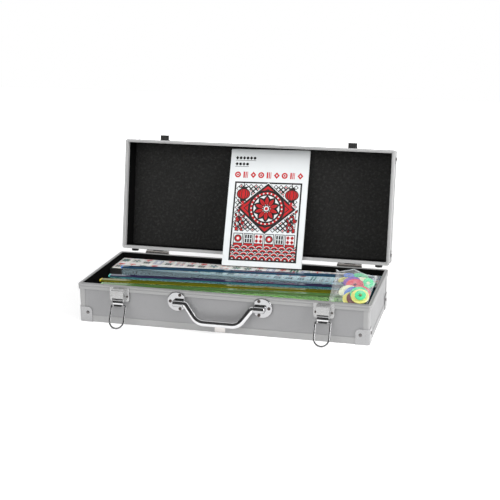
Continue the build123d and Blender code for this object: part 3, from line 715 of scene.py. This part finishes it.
FIELD = (-62.0, 63.5, 9.5, 156.0)  # the bordered field: left, right, bottom, top (mm)
BORDER = 3.0
TITLE_ROWS = ((200.5, 6), (189.0, 4))  # height and number of beads
BAND_HEIGHT = 169.0  # middle of the band of ornaments


def heading(page):
    """Two short black rows and a red band of ornaments."""
    for v, count in TITLE_ROWS:
        for i in range(count):
            u = -61.5 + i * 6.6
            if i % 2:
                page.discs(0, u, v, [("black", 2.7)], 14)
            else:
                page.lozenge("black", 0, u, v, 3.1, 3.4)
        page.box("black", 0, -64.6, -64.6 + count * 6.4, v - 5.0, v - 4.3)
    v = BAND_HEIGHT
    for i in range(9):
        u = -58.0 + i * 14.6
        if i % 3 == 0:
            page.discs(0, u, v, [("red", 5.6), ("white", 2.9), ("red", 1.8)])
        elif i % 3 == 1:
            for left, right in ((-4.2, -1.4), (-0.1, 1.7), (3.0, 4.2)):
                page.box("red", 0, u + left, u + right, v - 5.8, v + 5.8)
        else:
            page.lozenge("red", 0, u, v, 5.4, 6.2)
            page.lozenge("white", 1, u, v, 1.9, 2.2)


def border(page):
    """The black line round the field."""
    u0, u1, v0, v1 = FIELD
    page.box("black", 0, u0, u1, v0, v0 + BORDER)
    page.box("black", 0, u0, u1, v1 - BORDER, v1)
    page.box("black", 1, u0, u0 + BORDER, v0, v1)
    page.box("black", 1, u1 - BORDER, u1, v0, v1)


def lattice(page, low, high):
    """A net of small lozenges behind the picture."""
    across, up = 9.3, 8.9
    u0, u1 = FIELD[0] + BORDER, FIELD[1] - BORDER
    for row in range(int((high - low) / up * 2) - 1):
        v = low + (row + 1) * up / 2
        for column in range(int((u1 - u0) / across)):
            u = u0 + (column + (0.5 if row % 2 else 1.0)) * across
            if u + across / 2 > u1:
                continue
            page.lozenge("black", 0, u, v, across * 0.5, up * 0.5)
            page.lozenge("white", 1, u, v, across * 0.31, up * 0.31)
            if (row + column) % 3 == 0:
                page.lozenge("red", 2, u, v, across * 0.2, up * 0.2)


def medallion(page, u, v, r):
    """A wheel of petals in a beaded ring."""
    rings = [("black", r * 1.04), ("red", r * 0.92), ("black", r * 0.82), ("white", r * 0.73)]
    page.discs(8, u, v, rings, 56)
    beads = 24
    for i in range(beads):
        turn = 2 * pi * i / beads
        at = u + r * 0.86 * cos(turn), v + r * 0.86 * sin(turn)
        page.discs(12, *at, [("white", r * 0.045)], 10)
    petals = 10
    for i in range(petals):
        turn = 2 * pi * (i + 0.5) / petals
        start = (u + r * 0.16 * cos(turn), v + r * 0.16 * sin(turn))
        page.leaf("black", 13, *start, r * 0.60, r * 0.40, turn)
        page.leaf("red", 14, *start, r * 0.49, r * 0.19, turn)
        page.stroke("black", 15, start, (u + r * 0.5 * cos(turn), v + r * 0.5 * sin(turn)), 0.7)
    page.discs(16, u, v, [("black", r * 0.2), ("white", r * 0.15), ("red", r * 0.09)])


def lantern(page, u, v, size):
    """A ribbed paper lantern on its string, with a tassel."""
    page.box("black", 10, u - 0.7, u + 0.7, v + size, FIELD[3] - BORDER)
    page.oval("black", 11, u, v, size * 0.95, size * 0.8)
    page.oval("red", 12, u, v, size * 0.82, size * 0.67)
    for layer, reach in enumerate((0.6, 0.26)):
        page.oval("black", 13 + 2 * layer, u, v, size * reach + 0.9, size * 0.72)
        page.oval("red", 14 + 2 * layer, u, v, size * reach - 0.5, size * 0.68)
    for dv in (-0.86, 0.86):
        low, high = v + size * (dv - 0.14), v + size * (dv + 0.14)
        page.box("black", 17, u - size * 0.42, u + size * 0.42, low, high)
    for du in (-2.4, 0.0, 2.4):
        page.stroke("red", 16, (u + du * 0.5, v - size), (u + du, v - size * 1.6), 1.5)


def cane(page, u, low, high, width):
    """A jointed bamboo cane with leaves."""
    lengths, rind = 4, 1.2
    step = (high - low) / lengths
    for i in range(lengths):
        v0, v1 = low + i * step, low + (i + 1) * step - 1.0
        u0, u1 = u - width / 2, u + width / 2
        page.box("black", 4, u0, u1, v0, v1)
        page.box("white" if i % 2 else "red", 5, u0 + rind, u1 - rind, v0 + rind, v1 - rind)
        lean = 1 if i % 2 else -1
        start = (u, v1)
        page.leaf("black", 6, *start, 10.0, 4.6, pi / 2 - lean * 0.6)
        page.leaf("red", 7, *start, 7.0, 2.0, pi / 2 - lean * 0.6)


def tile_row(page, low, high):
    """Six upright tiles side by side."""
    count, gap, line = 6, 1.4, 1.3
    u0, u1 = FIELD[0] + BORDER + 2.6, FIELD[1] - BORDER - 2.6
    width = (u1 - u0 - gap * (count - 1)) / count
    for i in range(count):
        left = u0 + i * (width + gap)
        middle, height = left + width / 2, high - low
        page.box("black", 1, left, left + width, low, high)
        back = low + height * 0.22
        page.box("red", 2, left + line, left + width - line, low + line, back)
        page.box("white", 3, left + line, left + width - line, back + 1.2, high - line)
        v = low + height * 0.6
        if i % 3 == 0:
            page.discs(4, middle, v, [("black", 7.0), ("red", 5.2), ("white", 2.6)])
        elif i % 3 == 1:
            for du in (-4.6, 0.0, 4.6):
                page.box("black", 4, middle + du - 1.6, middle + du + 1.6, v - 7.2, v + 7.2)
                page.box("white", 5, middle + du - 2.0, middle + du + 2.0, v - 0.6, v + 0.6)
        else:
            for du, dv in ((-3.8, 4.0), (3.8, 4.0), (-3.8, -4.0), (3.8, -4.0)):
                page.lozenge("red", 4, middle + du, v + dv, 3.4, 3.8)
                page.lozenge("black", 5, middle + du, v + dv, 1.3, 1.5)


def waves(page, low, rows, r, pitch):
    """Rows of overlapping wave scales, the lower rows in front."""
    u0, u1 = FIELD[0] + BORDER, FIELD[1] - BORDER
    rises = 6.0
    colours = (("black", 1.0), ("white", 0.84), ("red", 0.72), ("black", 0.46), ("white", 0.2))
    for row in range(rows):
        v = low + (rows - 1 - row) * rises
        count = ceil((u1 - u0) / pitch) + 1
        for i in range(count):
            u = u0 + (i + (row % 2) * 0.5 - 0.25) * pitch
            if u - r > u1 or u + r < u0:
                continue
            for ring, (colour, share) in enumerate(colours):
                turns = [pi * k / 16 for k in range(17)]
                arc = [(u + r * share * cos(t), v + r * share * sin(t)) for t in turns]
                inside = [(min(max(p, u0), u1), q) for p, q in arc]
                if max(p for p, _ in inside) - min(p for p, _ in inside) > 0.2:
                    page.shape(colour, 2 + row * len(colours) + ring, inside)


def print_booklet(inks):
    """The cover's heading and its bordered picture, built up in layers."""
    upright = Matrix.Rotation(pi / 2, 4, "X")  # across is X, up is Z, out is the front
    page = Print(BOOK_PLACE @ upright)
    heading(page)
    border(page)
    middle = (FIELD[0] + FIELD[1]) / 2
    lattice(page, 63.0, FIELD[3] - BORDER)
    heart = 107.0
    bands = (("white", 1.13), ("black", 1.09), ("red", 0.98), ("black", 0.86), ("red", 0.81))
    for layer, (colour, size) in enumerate(bands):
        page.lozenge(colour, 3 + layer, middle, heart, 50.0 * size, 43.0 * size)
    medallion(page, middle, heart, 33.0)
    for side in (-1, 1):
        page.oval("white", 9, middle + side * 45.0, 133.0, 14.2, 12.6)
        lantern(page, middle + side * 45.0, 133.0, 13.5)
        cane(page, middle + side * 53.0, 64.0, 100.0, 6.0)
        cane(page, middle + side * 43.5, 64.0, 90.0, 5.4)
    tile_row(page, 36.0, 60.5)
    waves(page, 12.5, 4, 9.0, 14.0)
    page.done("cover_print", "booklet", "printed_card", inks)


# Ring counters and their bag.

COUNTER_HOLE, COUNTER_THICK = 3.0, 1.8
COUNTER_R, SMALL_R = 14.5, 9.0
COUNTER_COLOURS = {
    "green": (0.03, 0.60, 0.25),
    "red": (0.58, 0.02, 0.06),
    "blue": (0.03, 0.15, 0.58),
    "purple": (0.22, 0.04, 0.42),
    "yellow": (0.74, 0.70, 0.17),
    "cream": (0.78, 0.82, 0.55),
    # A red counter painted darker: painted shade deep in the heap.
    "red_in_painted_shade": (0.13, 0.008, 0.008),
}
# Counters: across, back from the front rim, up, radius (mm), lean to the front and to the right (degrees).
COUNTERS = [
    ("cream", 216.0, 66.0, 73.8, COUNTER_R, 2, 1),
    ("blue", 200.0, 92.0, 74.2, COUNTER_R, -2, 3),
    ("green", 228.0, 94.0, 74.4, COUNTER_R, 3, 4),
    ("cream", 206.0, 50.0, 73.9, COUNTER_R, 3, -2),
    ("purple", 216.0, 96.0, 77.0, COUNTER_R, 6, 5),
    ("yellow", 229.3, 18.2, 76.0, COUNTER_R, 33, 4),
    ("green", 230.4, 14.3, 79.4, SMALL_R, 38, 4),
    ("green", 226.5, 26.0, 77.4, COUNTER_R, 33, 2),
    ("red", 228.8, 36.0, 76.6, COUNTER_R, 30, 8),
    ("blue", 215.5, 31.5, 75.2, COUNTER_R, 32, -4),
    ("red", 214.0, 60.0, 81.4, COUNTER_R, 21, 2),
    ("purple", 206.0, 77.0, 80.6, COUNTER_R, 15, -6),
    ("blue", 197.0, 103.0, 82.6, SMALL_R, 6, 2),
    ("yellow", 189.5, 90.0, 79.2, SMALL_R, 8, -16),
    ("green", 214.5, 106.0, 80.5, COUNTER_R, 5, 3),
    ("cream", 223.0, 83.0, 79.6, COUNTER_R, 12, 6),
    ("green", 234.2, 72.0, 82.0, SMALL_R, 48, 10),
    ("cream", 205.0, 41.0, 75.6, COUNTER_R, 24, -9),
    ("yellow", 215.5, 19.8, 70.4, COUNTER_R, 33, -2),
    # The red counter in painted shade, deep in the front of the heap.
    ("red_in_painted_shade", 222.2, 18.4, 72.6, COUNTER_R, 33, 1),
]


def counter_mesh(radius):
    """A ring with a raised rim and a raised collar round its hole, in millimetres."""
    half = COUNTER_THICK / 2
    rim, collar, web = radius * 0.11, 1.2, 0.4
    profile = [
        (COUNTER_HOLE, -half + 0.2),
        (COUNTER_HOLE + 0.2, -half),
        (COUNTER_HOLE + collar, -half),
        (COUNTER_HOLE + collar + 0.3, -half + web),
        (radius - rim - 0.3, -half + web),
        (radius - rim, -half),
        (radius - 0.4, -half),
        (radius, -half + 0.4),
    ]
    profile += [(r, -z) for r, z in reversed(profile)]
    around, size = 56, len(profile)
    verts = [
        (r * cos(2 * pi * k / around), r * sin(2 * pi * k / around), z)
        for k in range(around)
        for r, z in profile
    ]
    faces = []
    for k in range(around):
        here, ahead = k * size, (k + 1) % around * size
        for i in range(size):
            j = (i + 1) % size
            faces.append((here + i, here + j, ahead + j, ahead + i))
    return mesh_of("ring_counter", verts, faces)


def make_counters():
    """The heap: counters laid flat at the bottom, then the ones that show on top."""
    finishes = {}
    for name, colour in COUNTER_COLOURS.items():
        finishes[name] = counter_plastic(f"counter_{name}", colour)
    places = []
    for number, (colour, x, back, z, radius, lean, roll) in enumerate(COUNTERS):
        mesh = counter_mesh(radius)
        turned = Matrix.Rotation(radians(lean), 4, "X") @ Matrix.Rotation(radians(roll), 4, "Y")
        place = Matrix.Translation((x, FRONT / MM + back, z)) @ turned
        mesh.transform(Matrix.Scale(MM, 4) @ place)
        name = f"counter_{number:02d}_{colour}"
        piece = add_piece(name, "bag", mesh, finishes[colour])
        bevel_shading(piece)
        if number == 0:
            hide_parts("counters")
        places.append((place, radius))
    return places


def bevel_shading(piece, angle=35.0):
    """Smooth shading that keeps edges sharper than the angle."""
    piece.data.polygons.foreach_set("use_smooth", [True] * len(piece.data.polygons))
    mesh = bmesh.new()
    mesh.from_mesh(piece.data)
    for edge in mesh.edges:
        edge.smooth = len(edge.link_faces) == 2 and edge.calc_face_angle(0) < radians(angle)
    mesh.to_mesh(piece.data)
    mesh.free()


# The bag, going round from the front left: across, back, height of the sealed edge and of the heap (mm).
BAG_EDGE = [
    (181.0, 6.2, 68.6, 77.0),
    (243.6, 6.2, 68.6, 86.0),
    (243.6, 44.0, 74.0, 85.0),
    (243.6, 77.0, 78.0, 85.0),
    (243.6, 112.5, 82.0, 85.0),
    (226.6, 109.1, 84.0, 86.0),
    (201.8, 124.3, 88.0, 87.0),
    (179.8, 116.9, 84.0, 84.5),
    (172.0, 123.0, 85.5, 84.0),
    (174.1, 101.0, 79.5, 80.5),
    (175.6, 69.3, 76.0, 79.0),
    (179.8, 15.0, 70.0, 77.0),
]
BAG_MIDDLE = Vector((211.0, 66.0, 87.0))
HEAP_SHARE = 0.72  # how far out from the middle the heap reaches
BAG_FLOOR = 72.5
BAG_HEM_FLOOR, BAG_HEM_BACK = 61.5, 26.0  # the front of the bag sags between front wall and racks
BAG_SAG = 3.5  # how far the film may sink between counters
BAG_RINGS, BAG_AROUND = 46, 132  # squares of each sheet, out from the middle and going round
BAG_PULLS = 60  # rounds in which the film is drawn tight


def bag_edge(t):
    """A point on the outline and the heap's height there, t from 0 to 1 going round."""
    count = len(BAG_EDGE)
    i, part = divmod(t * count, 1)
    a, b = BAG_EDGE[int(i) % count], BAG_EDGE[(int(i) + 1) % count]
    return [p + (q - p) * part for p, q in zip(a, b)]


def crumple(x, y, size, seed):
    """Sharp-ridged noise from -1 to 1, in millimetres."""
    return 1 - 2 * abs(noise.noise(Vector((x / size, y / size, seed))))


def counters_under(places, x, back):
    """How high the counters reach under a point of the film."""
    best = 0.0
    for place, radius in places:
        middle, normal = place.translation, place.col[2].xyz
        dx, dy = x - middle.x, back + FRONT / MM - middle.y
        rise = -(normal.x * dx + normal.y * dy) / normal.z
        if Vector((dx, dy, rise)).length < radius + 0.6:
            best = max(best, middle.z + rise + COUNTER_THICK)
    return best


def bag_plan():
    """The film ring by ring, seen from above, and the heap's height over each point."""
    flat, roof = [], []
    for i in range(BAG_RINGS + 1):
        share = i / BAG_RINGS
        out = (share - HEAP_SHARE) / (1 - HEAP_SHARE)
        flat.append([])
        roof.append([])
        for k in range(BAG_AROUND):
            x, back, edge_z, heap_z = bag_edge(k / BAG_AROUND)
            reach = share * (1 + 0.012 * noise.noise(Vector((k * 0.35, 3.1, share * 4))))
            across = BAG_MIDDLE.x + (x - BAG_MIDDLE.x) * reach
            flat[i].append((across, BAG_MIDDLE.y + (back - BAG_MIDDLE.y) * reach))
            inner = BAG_MIDDLE.z + (heap_z - BAG_MIDDLE.z) * share / HEAP_SHARE
            roof[i].append(heap_z + (edge_z - heap_z) * out if out > 0 else inner)
    return flat, roof


def drawn_tight(held):
    """Heights of a film that lies on the held heights and is drawn tight between them."""
    height = [row[:] for row in held]
    for _ in range(BAG_PULLS):
        for i in range(1, BAG_RINGS):
            inner, row, outer = height[i - 1 : i + 2]
            for k in range(BAG_AROUND):
                mean = (inner[k] + outer[k] + row[k - 1] + row[(k + 1) % BAG_AROUND]) / 4
                row[k] = max(held[i][k], mean)
        height[0] = [sum(height[1]) / BAG_AROUND] * BAG_AROUND
    return height


def upper_film(x, back, held, tight, inside, places):
    """Height of the upper sheet, creased most where nothing holds it up."""
    fold = 1.3 * crumple(x, back * 0.6, 17, 2.0) + 0.8 * crumple(x + 40, back, 7, 5.0)
    free = 1.0 if tight > held + 0.3 else 0.4
    return max(tight + inside * (0.3 + 0.7 * fold) * free, counters_under(places, x, back))


def lower_film(x, back, sealed, inside):
    """Height of the lower sheet, which sinks to the hem in front of the racks."""
    front = min(1.0, max(0.0, (BAG_HEM_BACK + 3 - back) / 3))
    z = BAG_FLOOR + (BAG_HEM_FLOOR - BAG_FLOOR) * front + 0.2 * crumple(x, back, 12, 9.0)
    return z * inside + sealed * (1 - inside) - 0.15


def make_bag(places):
    """A film pouch: an upper sheet draped over the heap and a lower one under it, sealed round the edge."""
    flat, roof = bag_plan()
    sealed = roof[-1]
    held = [
        [max(counters_under(places, *p), z - BAG_SAG) for p, z in zip(plan, heap)]
        for plan, heap in zip(flat[:-1], roof[:-1])
    ]
    held.append(sealed[:])
    tight = drawn_tight(held)
    verts, faces = [], []
    for upper in (True, False):
        start = len(verts)
        for i in range(BAG_RINGS + 1):
            inside = min(1.0, (1 - i / BAG_RINGS) * 6)
            for k, (x, back) in enumerate(flat[i]):
                if upper:
                    z = upper_film(x, back, held[i][k], tight[i][k], inside, places)
                else:
                    z = lower_film(x, back, sealed[k], inside)
                verts.append((x * MM, FRONT + back * MM, z * MM))
        for i in range(BAG_RINGS):
            ring = start + i * BAG_AROUND
            for k in range(BAG_AROUND):
                a, b = ring + k, ring + (k + 1) % BAG_AROUND
                quad = (a, b, b + BAG_AROUND, a + BAG_AROUND)
                faces.append(quad if upper else quad[::-1])
    last = BAG_RINGS * BAG_AROUND
    under = last + (BAG_RINGS + 1) * BAG_AROUND
    for k in range(BAG_AROUND):
        j = (k + 1) % BAG_AROUND
        faces.append((last + k, last + j, under + j, under + k))
    mesh = mesh_of("counter_film", verts, faces)
    film = add_piece("counter_film", "bag", mesh, clear_film("clear_film"), smooth=True)
    clean = bmesh.new()
    clean.from_mesh(film.data)
    bmesh.ops.remove_doubles(clean, verts=clean.verts, dist=1e-6)
    clean.to_mesh(film.data)
    clean.free()
    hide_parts("counter_bag")
    make_zip()


def film_bead(name, points, radius, material, sides=10):
    """A round bead of film through points."""
    verts, faces = [], []
    for i, p in enumerate(points):
        ahead = points[min(i + 1, len(points) - 1)] - points[max(i - 1, 0)]
        across = ahead.cross(Vector((0, 0, 1))).normalized()
        up = across.cross(ahead).normalized()
        for k in range(sides):
            turn = 2 * pi * k / sides
            verts.append(p + (across * cos(turn) + up * sin(turn)) * radius)
    for i in range(len(points) - 1):
        for k in range(sides):
            j = (k + 1) % sides
            faces.append((i * sides + k, i * sides + j, (i + 1) * sides + j, (i + 1) * sides + k))
    faces.append(tuple(range(sides))[::-1])
    faces.append(tuple((len(points) - 1) * sides + k for k in range(sides)))
    mesh = mesh_of(name, [tuple(v) for v in verts], faces)
    add_piece(name, "bag", mesh, material, smooth=True)


def make_zip():
    """The press-to-close strip: two beads of thicker film along the rear edge."""
    bead = clear_film("zip_film", 0.3)
    first, last, steps = 8, 4, 24  # from corner to corner of the bag's edge
    for number, shift in enumerate((3.0, 5.6)):
        points = []
        for step in range(steps + 1):
            x, back, z, _ = bag_edge((first - (first - last) * step / steps) / len(BAG_EDGE))
            height = z + 0.9 + 0.25 * sin(step * 1.1)
            points.append(Vector((x * MM, FRONT + (back - shift) * MM, height * MM)))
        film_bead(f"bag_zip_{number}", points, 0.4 * MM, bead)


# Lid foam.

FOAM_ACROSS, FOAM_BACK = 240, 96  # squares of the sheet's face
FOAM_ROUNDING = 1.2 * MM  # of its edges


def make_lid_foam():
    """The sheet of foam glued under the lid's top, its face slightly uneven."""
    low, high = lid_closed_box("lid_foam")
    verts, faces = [], []
    for j in range(FOAM_BACK + 1):
        for i in range(FOAM_ACROSS + 1):
            x = low.x + (high.x - low.x) * i / FOAM_ACROSS
            y = low.y + (high.y - low.y) * j / FOAM_BACK
            seam_shade = min(x - low.x, high.x - x, y - low.y, high.y - y)
            crown = 1 - max(0.0, 1 - seam_shade / FOAM_ROUNDING) ** 2
            broad = noise.noise(Vector((x * 22, y * 22, 0.0)))
            fine = noise.noise(Vector((x * 260, y * 260, 4.0)))
            swell = 0.25 * broad + 0.22 * fine
            verts.append(Vector((x, y, low.z + (0.75 - 0.45 * crown + 0.4 * swell) * MM)))
    width = FOAM_ACROSS + 1
    for j in range(FOAM_BACK):
        for i in range(FOAM_ACROSS):
            a = j * width + i
            faces.append((a, a + width, a + width + 1, a + 1))
    face_count = len(verts)
    rim = list(range(width))
    rim += [j * width + FOAM_ACROSS for j in range(1, FOAM_BACK + 1)]
    rim += [FOAM_BACK * width + i for i in range(FOAM_ACROSS - 1, -1, -1)]
    rim += [j * width for j in range(FOAM_BACK - 1, 0, -1)]
    for index in rim:
        p = verts[index]
        verts.append(Vector((p.x, p.y, high.z - 0.1 * MM)))
    for n in range(len(rim)):
        m = (n + 1) % len(rim)
        faces.append((rim[n], rim[m], face_count + m, face_count + n))
    faces.append(tuple(face_count + n for n in range(len(rim))))
    mesh = mesh_of("lid_foam_sheet", [tuple(LID_PLACE @ v) for v in verts], faces)
    foam = open_foam("lid_foam", LID_OPENS)
    sheet = add_piece("lid_foam_sheet", "lid", mesh, foam, smooth=True)
    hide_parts("lid_foam")


def lid_closed_box(node):
    """A lid node's box as it is with the lid closed."""
    back = LID_PLACE.inverted()
    points = [back @ v.co for v in nodes[node].data.vertices]
    return (
        Vector([min(p[axis] for p in points) for axis in range(3)]),
        Vector([max(p[axis] for p in points) for axis in range(3)]),
    )


# Finishes of the CAD nodes.


def dress(material, *names):
    """Gives CAD nodes a material."""
    for name in names:
        for slot in nodes[name].material_slots:
            slot.material = material


def panel_seams():
    """Heights where painted shade lies on the base's panels: under the rim and at the trim clip's top."""
    rim = min(v.co.z for v in nodes["base_front_rim"].data.vertices)
    clip_top = max(v.co.z for v in nodes["base_trim_clip"].data.vertices)
    return rim, clip_top


LEVERS = "right_latch_lever", "left_latch_lever"

# Plated steel: colour, blur, share of metal and the nodes that have it.
PLATED = {
    "clip_steel": ((0.72, 0.69, 0.67), 0.3, 1.0, "base_trim_clip"),
    "cap_steel": ((0.38, 0.38, 0.385), 0.2, 0.8, "base_corner_caps", "lid_corner_caps"),
    "rivet_steel": ((0.16, 0.15, 0.15), 0.2, 1.0, "base_rivets", "lid_rivets"),
    "hinge_steel": ((0.42, 0.39, 0.37), 0.16, 1.0, "hinge_base_leaves", "hinge_lid_leaves", "hinge_pins"),
    "latch_steel": ((0.45, 0.45, 0.45), 0.24, 0.65, "latch_plates", "latch_housings"),
    # The catches' chrome is painted near-black: a painted dark reflection.
    "catch_steel_painted_reflection": ((0.09, 0.09, 0.09), 0.2, 0.8, "lid_catches"),
    "bright_chrome": ((0.70, 0.70, 0.71), 0.05, 1.0, "handle_grip", "latch_axles", *LEVERS),
    "loop_steel": ((0.34, 0.34, 0.345), 0.08, 1.0, "right_latch_loop", "left_latch_loop"),
    "rosette_chrome": ((0.50, 0.50, 0.51), 0.08, 1.0, "handle_rosettes"),
    # The screws are painted dark: painted shade in their slots and recesses.
    "screw_steel_painted_shade": ((0.10, 0.085, 0.08), 0.25, 1.0, "latch_screws", "rosette_screws"),
}


def dress_nodes():
    """A finish for every node that keeps its CAD shape."""
    sides = ("front", "right", "rear", "left")
    aluminium = brushed_aluminium("base_aluminium")
    dress(aluminium, *[f"base_{side}_rim" for side in sides], "base_edge_frame", "base_corner_posts")
    # The lid's aluminium is the base's, painted lighter (0.45 against 0.35): painted light.
    aluminium = brushed_aluminium("lid_aluminium_painted_lighter", LID_OPENS, 0.45)
    dress(aluminium, "lid_rim_frame", "lid_edge_frame", "lid_corner_posts")
    laminate = silver_panel("base_panel", 0.0, panel_seams())
    dress(laminate, *[f"base_{side}_panel" for side in sides], "base_bottom_board")
    laminate = silver_panel("lid_panel", LID_OPENS)
    dress(laminate, *[f"lid_{side}_panel" for side in sides], "lid_top_board")
    for name, (colour, blur, metal, *plated) in PLATED.items():
        dress(chrome(name, colour, blur, metal), *plated)
    dress(flocked_lining("base_flock"), "base_lining")
    dress(flocked_lining("lid_flock", LID_OPENS), "lid_side_lining")
    dress(open_foam("pad_foam"), "rack_pads")
    dress(black_board("divider_card"), "divider_board")
    dress(black_rubber("foot_rubber"), "base_rear_feet", "lid_rear_feet", "hardware_packings")
    dress(tile_white("tile_white"), "tiles_bottom_layer", "tiles_middle_layer", "tiles_top_layer")
    dress(printed_card("cover_card"), "booklet_cover")
    dress(page_paper("book_pages"), "booklet_pages")
    dress(bright_wire("staple_wire"), "booklet_staples")
    for name, tones in RACK_TONES.items():
        dress(acrylic(f"{name}_acrylic", tones, RACKS[name]), f"rack_{name}")


bpy.context.scene.view_settings.view_transform = "Standard"
make_camera()
make_studio()
dress_nodes()
make_lid_foam()
inks = {
    "red": ink("red_ink", (0.50, 0.003, 0.006)),
    "black": ink("black_ink", (0.012, 0.012, 0.012)),
    "dark": ink("dark_ink", (0.03, 0.05, 0.05)),
    "green": ink("green_ink", (0.02, 0.13, 0.07)),
    "blue": ink("blue_ink", (0.03, 0.06, 0.22)),
    "white": ink("white_ink", (0.68, 0.705, 0.715)),
}
mark_tiles(inks)
print_booklet(inks)
make_bag(make_counters())
